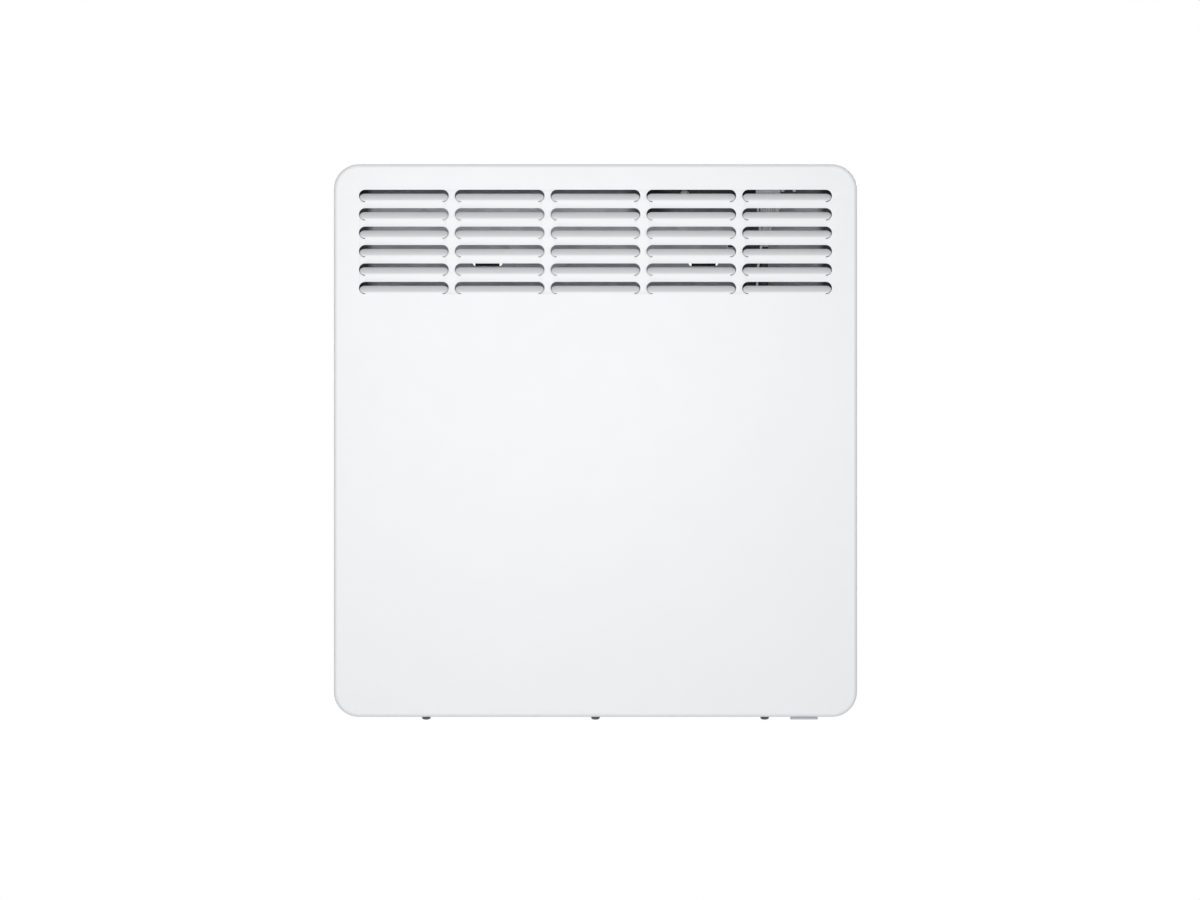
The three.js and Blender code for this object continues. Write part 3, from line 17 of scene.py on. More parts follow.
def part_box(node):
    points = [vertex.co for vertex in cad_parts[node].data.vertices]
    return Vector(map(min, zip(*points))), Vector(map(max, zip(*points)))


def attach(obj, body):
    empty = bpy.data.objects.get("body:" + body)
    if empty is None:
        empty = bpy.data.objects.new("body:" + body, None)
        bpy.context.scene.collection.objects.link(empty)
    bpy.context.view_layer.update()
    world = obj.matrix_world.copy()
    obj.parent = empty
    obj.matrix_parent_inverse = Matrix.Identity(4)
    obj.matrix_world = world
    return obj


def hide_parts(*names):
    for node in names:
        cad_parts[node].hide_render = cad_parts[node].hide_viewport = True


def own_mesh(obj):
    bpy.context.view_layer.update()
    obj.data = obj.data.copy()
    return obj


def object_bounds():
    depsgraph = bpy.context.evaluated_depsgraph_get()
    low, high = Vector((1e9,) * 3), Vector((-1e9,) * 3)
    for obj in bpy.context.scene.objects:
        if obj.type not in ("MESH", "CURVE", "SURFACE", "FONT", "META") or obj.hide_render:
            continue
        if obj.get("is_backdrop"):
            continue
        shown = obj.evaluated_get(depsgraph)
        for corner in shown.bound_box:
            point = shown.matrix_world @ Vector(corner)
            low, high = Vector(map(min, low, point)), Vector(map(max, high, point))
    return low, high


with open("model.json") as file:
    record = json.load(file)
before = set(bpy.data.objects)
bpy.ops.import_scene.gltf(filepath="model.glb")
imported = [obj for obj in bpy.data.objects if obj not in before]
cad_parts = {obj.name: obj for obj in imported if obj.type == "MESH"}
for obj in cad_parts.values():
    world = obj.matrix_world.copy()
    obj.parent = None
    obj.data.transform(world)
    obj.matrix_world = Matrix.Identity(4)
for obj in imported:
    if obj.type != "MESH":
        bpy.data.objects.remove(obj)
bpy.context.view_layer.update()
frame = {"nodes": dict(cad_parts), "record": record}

MM = 0.001
nodes = frame["nodes"]

# %% [markdown]
# ## Camera, light and floor
# The photograph looks at the heater's front from straight ahead and from far away, so that its
# sides stay hidden. A long lens at seven metres gives the same picture. A soft lamp beside the
# lens, a little above and to the left, makes the front fall from white to light grey towards the
# lower right, and it reaches far enough into the louvres to light the grey sheet behind them.

# %% Camera
FRAME_WIDTH = 976.8 * MM  # what the picture's width takes in, at the heater's front
SENSOR = 36
CAMERA_AT = Vector((3.7 * MM, -7.098, -7.7 * MM))
front_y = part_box("front_casing")[0].y

lens = bpy.data.cameras.new("camera")
lens.sensor_width = SENSOR
lens.lens = SENSOR * (front_y - CAMERA_AT.y) / FRAME_WIDTH
camera = bpy.data.objects.new("camera", lens)
camera.location = CAMERA_AT
camera.rotation_euler = (math.pi / 2, 0, 0)
bpy.context.scene.collection.objects.link(camera)
bpy.context.scene.camera = camera
print("lens", round(lens.lens, 1), "mm")

# %% Lamps
def soft_lamp(name, at, aim, width, height, watts):
    """A rectangular lamp that faces a point."""
    light = bpy.data.lights.new(name, "AREA")
    light.shape = "RECTANGLE"
    light.size = width
    light.size_y = height
    light.energy = watts
    lamp = bpy.data.objects.new(name, light)
    lamp.location = at
    lamp.rotation_euler = (Vector(aim) - Vector(at)).to_track_quat("-Z", "Y").to_euler()
    bpy.context.scene.collection.objects.link(lamp)


soft_lamp("front_lamp", (-0.07, -1.2, 0.16), (0, 0, 0), 0.6, 0.6, 7)
soft_lamp("rear_lamp", (0.9, 2.4, 0.9), (0, 0, 0), 1.2, 1.2, 30)
bpy.context.scene.view_settings.view_transform = "Standard"
print("two lamps")

# %% World: a white background over a grey that lights the heater
def seen_directly(tree):
    """1 for rays from the camera and for those that metal and glass reflect or let through."""
    path = tree.nodes.new("ShaderNodeLightPath")
    either = tree.nodes.new("ShaderNodeMath")
    either.operation = "MAXIMUM"
    tree.links.new(path.outputs["Is Camera Ray"], either.inputs[0])
    tree.links.new(path.outputs["Is Glossy Ray"], either.inputs[1])
    any_of = tree.nodes.new("ShaderNodeMath")
    any_of.operation = "MAXIMUM"
    tree.links.new(either.outputs[0], any_of.inputs[0])
    tree.links.new(path.outputs["Is Transmission Ray"], any_of.inputs[1])
    return any_of.outputs[0]


AMBIENT = 0.36
world = bpy.data.worlds.new("studio")
bpy.context.scene.world = world
world.use_nodes = True
tree = world.node_tree
ambient = tree.nodes["Background"]
ambient.inputs["Color"].default_value = (AMBIENT, AMBIENT, AMBIENT, 1)
white = tree.nodes.new("ShaderNodeBackground")
white.inputs["Color"].default_value = (1, 1, 1, 1)
choose = tree.nodes.new("ShaderNodeMixShader")
tree.links.new(seen_directly(tree), choose.inputs[0])
tree.links.new(ambient.outputs[0], choose.inputs[1])
tree.links.new(white.outputs[0], choose.inputs[2])
tree.links.new(choose.outputs[0], tree.nodes["World Output"].inputs["Surface"])
print("world at", AMBIENT)

# %% Floor
FLOOR_Z = -0.65
FLOOR_REACH = 4.4
PAPER_GREY = 0.85
PAPER_GLOW = 0.6  # how much of it is plain white where a ray sees it directly
floor_mesh = bpy.data.meshes.new("floor")
bm = bmesh.new()
bmesh.ops.create_grid(
    bm, x_segments=1, y_segments=1, size=FLOOR_REACH, matrix=Matrix.Translation((0, 0, FLOOR_Z))
)
bm.to_mesh(floor_mesh)
bm.free()
floor = bpy.data.objects.new("floor", floor_mesh)
bpy.context.scene.collection.objects.link(floor)
floor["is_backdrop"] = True

paper = bpy.data.materials.new("floor_paper")
paper.use_nodes = True
tree = paper.node_tree
matt = tree.nodes["Principled BSDF"]
matt.inputs["Base Color"].default_value = (PAPER_GREY, PAPER_GREY, PAPER_GREY, 1)
matt.inputs["Roughness"].default_value = 0.9
glow = tree.nodes.new("ShaderNodeEmission")
share = tree.nodes.new("ShaderNodeMath")
share.operation = "MULTIPLY"
share.inputs[1].default_value = PAPER_GLOW
tree.links.new(seen_directly(tree), share.inputs[0])
blend = tree.nodes.new("ShaderNodeMixShader")
tree.links.new(share.outputs[0], blend.inputs[0])
tree.links.new(matt.outputs[0], blend.inputs[1])
tree.links.new(glow.outputs[0], blend.inputs[2])
tree.links.new(blend.outputs[0], tree.nodes["Material Output"].inputs["Surface"])
floor_mesh.materials.append(paper)
print("floor at", FLOOR_Z)

# %% [markdown]
# ## Finishes
# Each finish is one Principled shader with a pattern in its colour, its roughness and its relief.
# The patterns read object coordinates, in metres, so a scale of 1000 has features of a
# millimetre. A value that is the same all over the surface is set on the shader itself.

# %% Tools for the finishes
def srgb(red, green, blue):
    """A colour as it is read off a screen, 0 to 255, turned into light."""
    def light(value):
        part = value / 255
        return part / 12.92 if part <= 0.04045 else ((part + 0.055) / 1.055) ** 2.4

    return (light(red), light(green), light(blue), 1)


def finish(name, colour, roughness, metallic=0.0, **fixed):
    """A new material; fixed sets other sockets of its shader."""
    material = bpy.data.materials.new(name)
    material.use_nodes = True
    shader = material.node_tree.nodes["Principled BSDF"]
    shader.inputs["Base Color"].default_value = colour
    shader.inputs["Roughness"].default_value = roughness
    shader.inputs["Metallic"].default_value = metallic
    for socket, value in fixed.items():
        shader.inputs[socket.replace("_", " ")].default_value = value
    print("finish", name)
    return material


def pattern(material, kind, scale, stretch=(1, 1, 1), out="Fac", **settings):
    """A texture on object coordinates. stretch squeezes it along the axes."""
    tree = material.node_tree
    place = tree.nodes.new("ShaderNodeTexCoord")
    turn = tree.nodes.new("ShaderNodeMapping")
    turn.inputs["Scale"].default_value = stretch
    texture = tree.nodes.new(kind)
    texture.inputs["Scale"].default_value = scale
    for socket, value in settings.items():
        texture.inputs[socket].default_value = value
    tree.links.new(place.outputs["Object"], turn.inputs["Vector"])
    tree.links.new(turn.outputs[0], texture.inputs["Vector"])
    return texture.outputs[out]


def noise(material, scale, stretch=(1, 1, 1), detail=2.0):
    return pattern(material, "ShaderNodeTexNoise", scale, stretch, Detail=detail)


def tint(material, value, first, second):
    """The base colour runs from first to second as the pattern's value rises."""
    tree = material.node_tree
    mix = tree.nodes.new("ShaderNodeMix")
    mix.data_type = "RGBA"
    mix.inputs["A"].default_value = first
    mix.inputs["B"].default_value = second
    tree.links.new(value, mix.inputs["Factor"])
    shader = tree.nodes["Principled BSDF"]
    tree.links.new(mix.outputs["Result"], shader.inputs["Base Color"])


def vary_gloss(material, value, low, high):
    """The roughness runs from low to high as the pattern's value rises."""
    tree = material.node_tree
    scale = tree.nodes.new("ShaderNodeMapRange")
    scale.inputs["To Min"].default_value = low
    scale.inputs["To Max"].default_value = high
    tree.links.new(value, scale.inputs["Value"])
    tree.links.new(scale.outputs[0], tree.nodes["Principled BSDF"].inputs["Roughness"])


def relief(material, value, height, strength):
    """The pattern stands out by a height in metres."""
    tree = material.node_tree
    bump = tree.nodes.new("ShaderNodeBump")
    bump.inputs["Strength"].default_value = strength
    bump.inputs["Distance"].default_value = height
    tree.links.new(value, bump.inputs["Height"])
    tree.links.new(bump.outputs[0], tree.nodes["Principled BSDF"].inputs["Normal"])


def ramp(material, axis, zero, one, centre=0.0):
    """0 at one distance from a centre and 1 at another, in metres along an axis."""
    tree = material.node_tree
    place = tree.nodes.new("ShaderNodeTexCoord")
    parts = tree.nodes.new("ShaderNodeSeparateXYZ")
    offset = tree.nodes.new("ShaderNodeMath")
    offset.operation = "SUBTRACT"
    offset.inputs[1].default_value = centre
    distance = tree.nodes.new("ShaderNodeMath")
    distance.operation = "ABSOLUTE"
    scale = tree.nodes.new("ShaderNodeMapRange")
    scale.inputs["From Min"].default_value = zero
    scale.inputs["From Max"].default_value = one
    tree.links.new(place.outputs["Object"], parts.inputs[0])
    tree.links.new(parts.outputs[axis], offset.inputs[0])
    tree.links.new(offset.outputs[0], distance.inputs[0])
    tree.links.new(distance.outputs[0], scale.inputs["Value"])
    return scale.outputs[0]


def both(material, first, second):
    """The product of two patterns: 1 only where both are."""
    product = material.node_tree.nodes.new("ShaderNodeMath")
    product.operation = "MULTIPLY"
    material.node_tree.links.new(first, product.inputs[0])
    material.node_tree.links.new(second, product.inputs[1])
    return product.outputs[0]


def shade(material, value, darkest):
    """As the value rises, the base colour so far is multiplied by a dark one."""
    tree = material.node_tree
    base = tree.nodes["Principled BSDF"].inputs["Base Color"]
    mix = tree.nodes.new("ShaderNodeMix")
    mix.data_type = "RGBA"
    mix.blend_type = "MULTIPLY"
    tree.links.new(base.links[0].from_socket, mix.inputs["A"])
    mix.inputs["B"].default_value = darkest
    tree.links.new(value, mix.inputs["Factor"])
    tree.links.new(mix.outputs["Result"], base)


print("tools for finishes ready")

# %% [markdown]
# The casing's powder coat is satin, with the faint orange peel that baked powder has. The sheet
# behind it is galvanised: zinc crystals make large flat flakes of slightly different greys,
# which a Voronoi texture gives in one node.

# %% White powder coat
white_paint = finish("white_powder_coat", srgb(243, 244, 246), 0.42, IOR=1.45)
tint(white_paint, noise(white_paint, 6, detail=3), srgb(242, 243, 245), srgb(245, 246, 248))
vary_gloss(white_paint, noise(white_paint, 40), 0.38, 0.47)
relief(white_paint, noise(white_paint, 700, detail=1), 0.012 * MM, 0.6)

# %% Galvanised sheet
zinc_sheet = finish("galvanised_sheet", srgb(180, 183, 186), 0.42, 0.6)
flakes = pattern(zinc_sheet, "ShaderNodeTexVoronoi", 140, out="Color", Randomness=1.0)
spread = zinc_sheet.node_tree.nodes.new("ShaderNodeSeparateColor")
zinc_sheet.node_tree.links.new(flakes, spread.inputs[0])
tint(zinc_sheet, spread.outputs[0], srgb(177, 180, 183), srgb(185, 188, 191))
vary_gloss(zinc_sheet, spread.outputs[1], 0.42, 0.5)
relief(zinc_sheet, noise(zinc_sheet, 500, detail=3), 0.01 * MM, 0.5)

# %% [markdown]
# The rear panel's room side gets painted shade: its colour is darkened behind the first row of
# louvres, a little behind the lower rows, towards both sides, beside the partition, and behind the
# first two rows of the fourth column, most at its left end. Painted shade also darkens the foot of
# the bracket's rail behind the panel's spare clip slot, so that the slot shows as a dark notch.

# %% Painted shade on the galvanised sheet
HALF_DEPTH = 38.7  # half of the way from the rear panel's back to the casing's front
IN_THE_SHEET = 38.1  # a little less, where the panel's own thickness is
PANEL_BACK = -21.3


def zinc_ramp(axis, zero, one, centre=0.0):
    """A ramp on the galvanised sheet, in millimetres."""
    return ramp(zinc_sheet, axis, zero * MM, one * MM, centre * MM)


def zinc_both(first, second):
    return both(zinc_sheet, first, second)


first_row = zinc_ramp("Z", 195, 200)
first_two_rows = zinc_ramp("Z", 183, 188)
lower_rows = zinc_ramp("Z", 176, 156)
both_sides = zinc_ramp("X", 182, 188)
beside_partition = zinc_ramp("X", 16, 8, 127)
fourth_column = zinc_ramp("X", 46, 38, 80)
its_left_end = zinc_ramp("X", 22, 8, 44)
# Painted shade: each place multiplies the sheet's colour by its darker grey, on the panel's room
# side only
painted_shade_places = [
    (first_row, srgb(160, 161, 163)),
    (lower_rows, srgb(222, 223, 224)),
    (both_sides, srgb(120, 121, 123)),
    (beside_partition, srgb(140, 141, 143)),
    (zinc_both(first_two_rows, fourth_column), srgb(150, 151, 153)),
    (zinc_both(first_two_rows, its_left_end), srgb(110, 111, 113)),
]
room_side = zinc_ramp("Y", HALF_DEPTH, IN_THE_SHEET, PANEL_BACK - HALF_DEPTH)
for place, darkest in painted_shade_places:
    shade(zinc_sheet, zinc_both(place, room_side), darkest)

# Painted shade on the foot of the bracket's rail, where it shows through the panel's spare clip
# slot
spare_slot = zinc_both(zinc_ramp("X", 9, 6, 112), zinc_ramp("Z", 6.7, 6.3, 166))
rail_foot = zinc_ramp("Y", 1.2, 0.4, -3.3)
shade(zinc_sheet, zinc_both(spare_slot, rail_foot), srgb(80, 81, 83))
print(len(painted_shade_places) + 1, "dark places")

# %% Plated steel: springs and screws, the dark screws below, the black latches, the earth screw
steel = finish("zinc_plated_steel", srgb(176, 178, 180), 0.34, 0.9)
tint(steel, noise(steel, 260, detail=4), srgb(160, 163, 166), srgb(192, 194, 196))
vary_gloss(steel, noise(steel, 900, detail=4), 0.26, 0.42)
relief(steel, noise(steel, 1400), 0.006 * MM, 0.5)

dark_steel = finish("dark_plated_steel", srgb(92, 96, 101), 0.38, 0.8)
tint(dark_steel, noise(dark_steel, 500, detail=4), srgb(78, 82, 87), srgb(106, 110, 115))
vary_gloss(dark_steel, noise(dark_steel, 1100, detail=3), 0.3, 0.46)

black_steel = finish(
    "black_passivated_steel", srgb(50, 50, 53), 0.42, 0.5, Specular_IOR_Level=0.25
)
tint(black_steel, noise(black_steel, 300, detail=4), srgb(26, 26, 28), srgb(40, 40, 42))
vary_gloss(black_steel, noise(black_steel, 800, detail=3), 0.34, 0.52)

# The earth screw's bright zinc plating is set near white and hardly metallic: the plating's own
# brightness and a painted highlight, so the head shows a light mark in the dark first row
bright_zinc = finish("bright_zinc_and_painted_highlight", srgb(244, 245, 246), 0.32, 0.15)
tint(bright_zinc, noise(bright_zinc, 500, detail=3), srgb(242, 243, 244), srgb(250, 251, 252))
vary_gloss(bright_zinc, noise(bright_zinc, 1200, detail=3), 0.24, 0.38)

# %% Extruded aluminium: fine lines along the bar
aluminium = finish("extruded_aluminium", srgb(200, 202, 204), 0.36, 0.85)
lines = noise(aluminium, 900, stretch=(0.03, 1, 1), detail=4)
tint(aluminium, lines, srgb(188, 190, 192), srgb(212, 214, 215))
vary_gloss(aluminium, lines, 0.28, 0.45)
relief(aluminium, lines, 0.01 * MM, 0.5)

# %% Ceramic, rubber and the moulded plastics
ceramic = finish("white_ceramic", srgb(228, 222, 208), 0.6)
tint(ceramic, noise(ceramic, 350, detail=4), srgb(220, 213, 198), srgb(235, 230, 218))
relief(ceramic, noise(ceramic, 1800), 0.02 * MM, 0.6)

grey_plastic = finish("light_grey_plastic", srgb(205, 208, 211), 0.5)
tint(grey_plastic, noise(grey_plastic, 30), srgb(202, 205, 208), srgb(208, 211, 214))
vary_gloss(grey_plastic, noise(grey_plastic, 300), 0.44, 0.56)
relief(grey_plastic, noise(grey_plastic, 2600, detail=1), 0.02 * MM, 0.7)

dark_plastic = finish("black_plastic", srgb(48, 49, 52), 0.48)
tint(dark_plastic, noise(dark_plastic, 60), srgb(43, 44, 47), srgb(54, 55, 58))
relief(dark_plastic, noise(dark_plastic, 2200, detail=1), 0.02 * MM, 0.7)

black_rubber = finish("black_rubber", srgb(36, 36, 37), 0.75)
tint(black_rubber, noise(black_rubber, 120, detail=3), srgb(52, 52, 53), srgb(66, 66, 67))
relief(black_rubber, noise(black_rubber, 1500), 0.03 * MM, 0.7)
print("metals, ceramic and plastics ready")

# %% Circuit board: solder resist over copper tracks
circuit_board = finish("circuit_board", srgb(46, 104, 66), 0.4)
tracks = pattern(
    circuit_board, "ShaderNodeTexVoronoi", 260, stretch=(1, 0.25, 1), out="Color", Randomness=0.2
)
track_shade = circuit_board.node_tree.nodes.new("ShaderNodeSeparateColor")
circuit_board.node_tree.links.new(tracks, track_shade.inputs[0])
tint(circuit_board, track_shade.outputs[0], srgb(38, 90, 56), srgb(60, 122, 80))
relief(circuit_board, track_shade.outputs[0], 0.03 * MM, 0.6)

# %% Display: a tinted cover over a grey-green cell
clear_window = finish(
    "display_cover", srgb(120, 126, 132), 0.06, Transmission_Weight=0.85, IOR=1.49
)
vary_gloss(clear_window, noise(clear_window, 80), 0.04, 0.09)
display_glass = finish("display_cell", srgb(120, 130, 122), 0.25)
tint(display_glass, noise(display_glass, 50), srgb(112, 122, 114), srgb(128, 138, 130))

# %% Wire coverings
def wire_covering(name, colour):
    """Smooth plastic with a slight mottle."""
    made = finish(name, srgb(*colour), 0.42)
    lighter = [min(255, part + 10) for part in colour]
    tint(made, noise(made, 400), srgb(*colour), srgb(*lighter))
    relief(made, noise(made, 1800), 0.01 * MM, 0.5)
    return made


finishes = {
    "white_paint": white_paint,
    "zinc_sheet": zinc_sheet,
    "steel": steel,
    "dark_steel": dark_steel,
    "aluminium": aluminium,
    "ceramic": ceramic,
    "grey_plastic": grey_plastic,
    "dark_plastic": dark_plastic,
    "black_rubber": black_rubber,
    "circuit_board": circuit_board,
    "clear_window": clear_window,
    "display_glass": display_glass,
    "wire_white": wire_covering("white_wire", (200, 201, 203)),
    "wire_grey": wire_covering("grey_wire", (184, 186, 188)),
    "black_steel": black_steel,
    "bright_zinc": bright_zinc,
}
slot_of = {row["node"]: row["material_slot"] for row in frame["record"]["subparts"]}
for name, node in nodes.items():
    node.data.materials.clear()
    node.data.materials.append(finishes[slot_of[name]])
print(len(finishes), "finishes on", len(nodes), "nodes")

# %% [markdown]
# ## Tools for the pieces
# A new piece is one mesh at the origin with its place in its mesh. It rides on the body of the
# node that it replaces, and it takes that node's finish.

# %% From a bmesh to a piece
def body_of_node(name):
    """The body that a node moves with."""
    for body, members in frame["record"]["behaviour"]["bodies"].items():
        if name in members:
            return body
    raise KeyError(name)


def addition(name, bm, carrier, slot, smooth=30):
    """A piece on a node's body. Edges sharper than smooth, in degrees, stay."""
    mesh = bpy.data.meshes.new(name)
    bm.to_mesh(mesh)
    bm.free()
    for face in mesh.polygons:
        face.use_smooth = True
    mesh.set_sharp_from_angle(angle=math.radians(smooth))
    made = bpy.data.objects.new(name, mesh)
    bpy.context.scene.collection.objects.link(made)
    mesh.materials.append(finishes[slot])
    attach(made, body_of_node(carrier))
    return made


def piece(name, bm, *replaced, smooth):
    """A piece in place of some nodes, with the first one's finish."""
    made = addition(name, bm, replaced[0], slot_of[replaced[0]], smooth)
    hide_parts(*replaced)
    return made


def weigh_normals(made):
    """Flat faces keep their own direction and the narrow bends take up the turn."""
    weights = made.modifiers.new("weights", "WEIGHTED_NORMAL")
    weights.keep_sharp = True
    weights.weight = 80


def report(made):
    """Prints how many triangles a piece has."""
    evaluated = made.evaluated_get(bpy.context.evaluated_depsgraph_get())
    mesh = evaluated.to_mesh()
    mesh.calc_loop_triangles()
    print(made.name, len(mesh.loop_triangles), "triangles")
    evaluated.to_mesh_clear()


# %% Outlines: a rounded rectangle is a square with its corners bevelled
FACING_ROOM = Matrix.Rotation(math.pi / 2, 4, "X")  # x stays, the outline's y becomes z
FACING_UP = Matrix.Identity(4)
WELD = 0.001 * MM  # points that are closer than this are one


def rounded_face(bm, at, size, radius, segments, facing=FACING_UP):
    """One face with round corners; it returns the face."""
    before = set(bm.faces)
    place = Matrix.Translation(at) @ facing @ Matrix.Diagonal((size[0], size[1], 1, 1))
    corners = bmesh.ops.create_grid(bm, x_segments=1, y_segments=1, size=0.5, matrix=place)
    bmesh.ops.bevel(
        bm,
        geom=corners["verts"],
        offset=radius,
        offset_type="OFFSET",
        segments=segments,
        profile=0.5,
        affect="VERTICES",
        material=-1,
    )
    face = next(f for f in bm.faces if f not in before)
    bmesh.ops.remove_doubles(bm, verts=face.verts, dist=WELD)
    return next(f for f in bm.faces if f not in before)


def rounded_block(bm, low, high, radius, segments=6):
    """A block between two heights with round upright corners."""
    at = ((low[0] + high[0]) / 2, (low[1] + high[1]) / 2, low[2])
    face = rounded_face(bm, at, (high[0] - low[0], high[1] - low[1]), radius, segments)
    lifted = bmesh.ops.extrude_face_region(bm, geom=[face], use_keep_orig=True)
    tops = [v for v in lifted["geom"] if isinstance(v, bmesh.types.BMVert)]
    bmesh.ops.translate(bm, verts=tops, vec=(0, 0, high[2] - low[2]))
    bmesh.ops.recalc_face_normals(bm, faces=bm.faces)


def cut(target, *cutters):
    """The target's mesh without the cutters' volumes."""
    tools = []
    for bm in cutters:
        mesh = bpy.data.meshes.new("cutter")
        bm.to_mesh(mesh)
        bm.free()
        tool = bpy.data.objects.new("cutter", mesh)
        bpy.context.scene.collection.objects.link(tool)
        cutting = target.modifiers.new("cut", "BOOLEAN")
        cutting.operation = "DIFFERENCE"
        cutting.solver = "EXACT"
        cutting.object = tool
        tools.append(tool)
    bpy.context.view_layer.update()
    evaluated = target.evaluated_get(bpy.context.evaluated_depsgraph_get())
    made = bpy.data.meshes.new_from_object(evaluated)
    target.modifiers.clear()
    target.data = made
    for tool in tools:
        bpy.data.objects.remove(tool)


print("tools for pieces ready")

# %% [markdown]
# ## The front casing
# The real casing is one sheet: blanked, lanced for the louvres, then drawn into a tray with
# rounded corners. The model follows the same order. A block gets its corners and its front edge
# bevelled, its front is filled again round thirty slot outlines, and each flap is extruded from
# the lower edge of its slot and bent inwards. Solidify then gives the sheet its millimetre.

# %% Sizes of the casing
SHEET = 1.0 * MM
CORNER = 20.5 * MM
EDGE_BEND = 3.0 * MM
SLOT_LENGTH = 73 * MM
SLOT_HEIGHT = 10 * MM
SLOT_PITCH_X = 78 * MM
SLOT_PITCH_Z = 15 * MM
SLOT_COLUMNS = 5
SLOT_ROWS = 6
TOP_MARGIN = 20.8 * MM  # from the casing's top to the first row
FLAP_ANGLE = math.radians(42)  # what the flap turns at its hinge
FLAP_CURL = math.radians(12)  # and what it turns further on, up to its edge
FLAP_BEND = 2.0 * MM  # radius on the painted side
HINGE_RISE = 0.8 * MM  # from the slot's lower edge to the start of the bend
FLAP_SHEAR = 0.65 * MM
casing_low, casing_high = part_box("front_casing")
size = casing_high - casing_low
print("casing", [round(v / MM, 1) for v in size])

# %% The tray's outside
bm = bmesh.new()
bmesh.ops.create_cube(
    bm,
    size=1,
    matrix=Matrix.Translation((casing_low + casing_high) / 2) @ Matrix.Diagonal((*size, 1)),
)


def level_with(vertex, axis, value):
    return abs(vertex.co[axis] - value) < WELD


def bevel_edges(bm, edges, radius, segments):
    bmesh.ops.bevel(
        bm,
        geom=edges,
        offset=radius,
        offset_type="OFFSET",
        segments=segments,
        profile=0.5,
        affect="EDGES",
        clamp_overlap=False,
        material=-1,
    )


deep_edges = [e for e in bm.edges if abs(e.verts[0].co.y - e.verts[1].co.y) > EDGE_BEND]
bevel_edges(bm, deep_edges, CORNER, 16)
front = min(bm.faces, key=lambda f: f.calc_center_median().y)
bevel_edges(bm, list(front.edges), EDGE_BEND, 8)
front = min(bm.faces, key=lambda f: f.calc_center_median().y)
back = max(bm.faces, key=lambda f: f.calc_center_median().y)
bmesh.ops.delete(bm, geom=[front, back], context="FACES_ONLY")
rim = [e for e in bm.edges if all(level_with(v, 1, casing_low.y) for v in e.verts)]
print("tray with", len(rim), "edges round its front")

# %% One louvre: the slot's outline and the flap, bent in small turns about its hinge
FLAP_STEPS = 14
BEND_STEPS = 4
CURL_STEPS = 4


def louvre(bm, x, z):
    """Adds one slot and its flap, and returns the slot's edges in the front sheet."""
    half_length = SLOT_LENGTH / 2 - SLOT_HEIGHT / 2
    face = rounded_face(
        bm, (x, casing_low.y, z), (SLOT_LENGTH, SLOT_HEIGHT), SLOT_HEIGHT / 2, 10, FACING_ROOM
    )
    edges = list(face.edges)
    bmesh.ops.delete(bm, geom=[face], context="FACES_ONLY")
    hinge_z = z - SLOT_HEIGHT / 2
    hinge = next(
        e
        for e in edges
        if e.calc_length() > half_length and all(level_with(v, 2, hinge_z) for v in e.verts)
    )
    bend_length = FLAP_BEND * FLAP_ANGLE
    radius = SLOT_HEIGHT / 2 - FLAP_SHEAR
    stations = [
        SLOT_HEIGHT / 2 - radius * math.cos(math.pi * i / FLAP_STEPS)
        for i in range(FLAP_STEPS + 1)
    ]
    turns = {
        HINGE_RISE + bend_length * (i + 0.5) / BEND_STEPS: FLAP_ANGLE / BEND_STEPS
        for i in range(BEND_STEPS)
    }
    bent = HINGE_RISE + bend_length
    for i in range(CURL_STEPS):
        turns[bent + (SLOT_HEIGHT - bent) * (i + 0.5) / CURL_STEPS] = FLAP_CURL / CURL_STEPS
    stations = sorted([*stations, *turns])
    strip = [list(hinge.verts)]
    for along in stations:
        grown = bmesh.ops.extrude_edge_only(bm, edges=[hinge])["geom"]
        hinge = next(
            g
            for g in grown
            if isinstance(g, bmesh.types.BMEdge) and all(v not in strip[-1] for v in g.verts)
        )
        rise = along - SLOT_HEIGHT / 2
        half = half_length + math.sqrt(max(radius * radius - rise * rise, 0))
        for vertex in hinge.verts:
            side = 1 if vertex.co.x > x else -1
            vertex.co = (x + side * half, casing_low.y, hinge_z + along)
        strip.append(list(hinge.verts))
    for turn in sorted(turns, reverse=True):
        beyond = [v for row, along in zip(strip[1:], stations) if along > turn for v in row]
        bmesh.ops.rotate(
            bm,
            verts=beyond,
            cent=(x, casing_low.y, hinge_z + turn),
            matrix=Matrix.Rotation(-turns[turn], 3, "X"),
        )
    return edges


slot_edges = []
for row in range(SLOT_ROWS):
    for column in range(SLOT_COLUMNS):
        x = (column - (SLOT_COLUMNS - 1) / 2) * SLOT_PITCH_X
        z = casing_high.z - TOP_MARGIN - SLOT_HEIGHT / 2 - row * SLOT_PITCH_Z
        slot_edges += louvre(bm, x, z)
bmesh.ops.triangle_fill(
    bm, use_beauty=True, use_dissolve=False, edges=rim + slot_edges, normal=(0, -1, 0)
)
print(SLOT_ROWS * SLOT_COLUMNS, "louvres in a front of", len(bm.faces), "faces")

# %% The hem: the top's rear edge, folded down behind the rear panel
HEM_HALF = 180 * MM
HEM_HEIGHT = 9 * MM
HEM_BEND = 1.3 * MM
for side in (-1, 1):
    level = [f for f in bm.faces if all(level_with(v, 2, casing_high.z) for v in f.verts)]
    top = max(level, key=lambda f: f.calc_area())
    bmesh.ops.bisect_plane(
        bm,
        geom=[top, *top.edges, *top.verts],
        plane_co=(side * HEM_HALF, 0, 0),
        plane_no=(1, 0, 0),
    )
rear_edge = next(
    e
    for e in bm.edges
    if e.is_boundary
    and all(level_with(v, 1, casing_high.y) and level_with(v, 2, casing_high.z) for v in e.verts)
    and e.calc_length() > 1.9 * HEM_HALF
)
folded = bmesh.ops.extrude_edge_only(bm, edges=[rear_edge])["geom"]
fold_verts = [g for g in folded if isinstance(g, bmesh.types.BMVert)]
bmesh.ops.translate(bm, verts=fold_verts, vec=(0, 0, -HEM_HEIGHT))
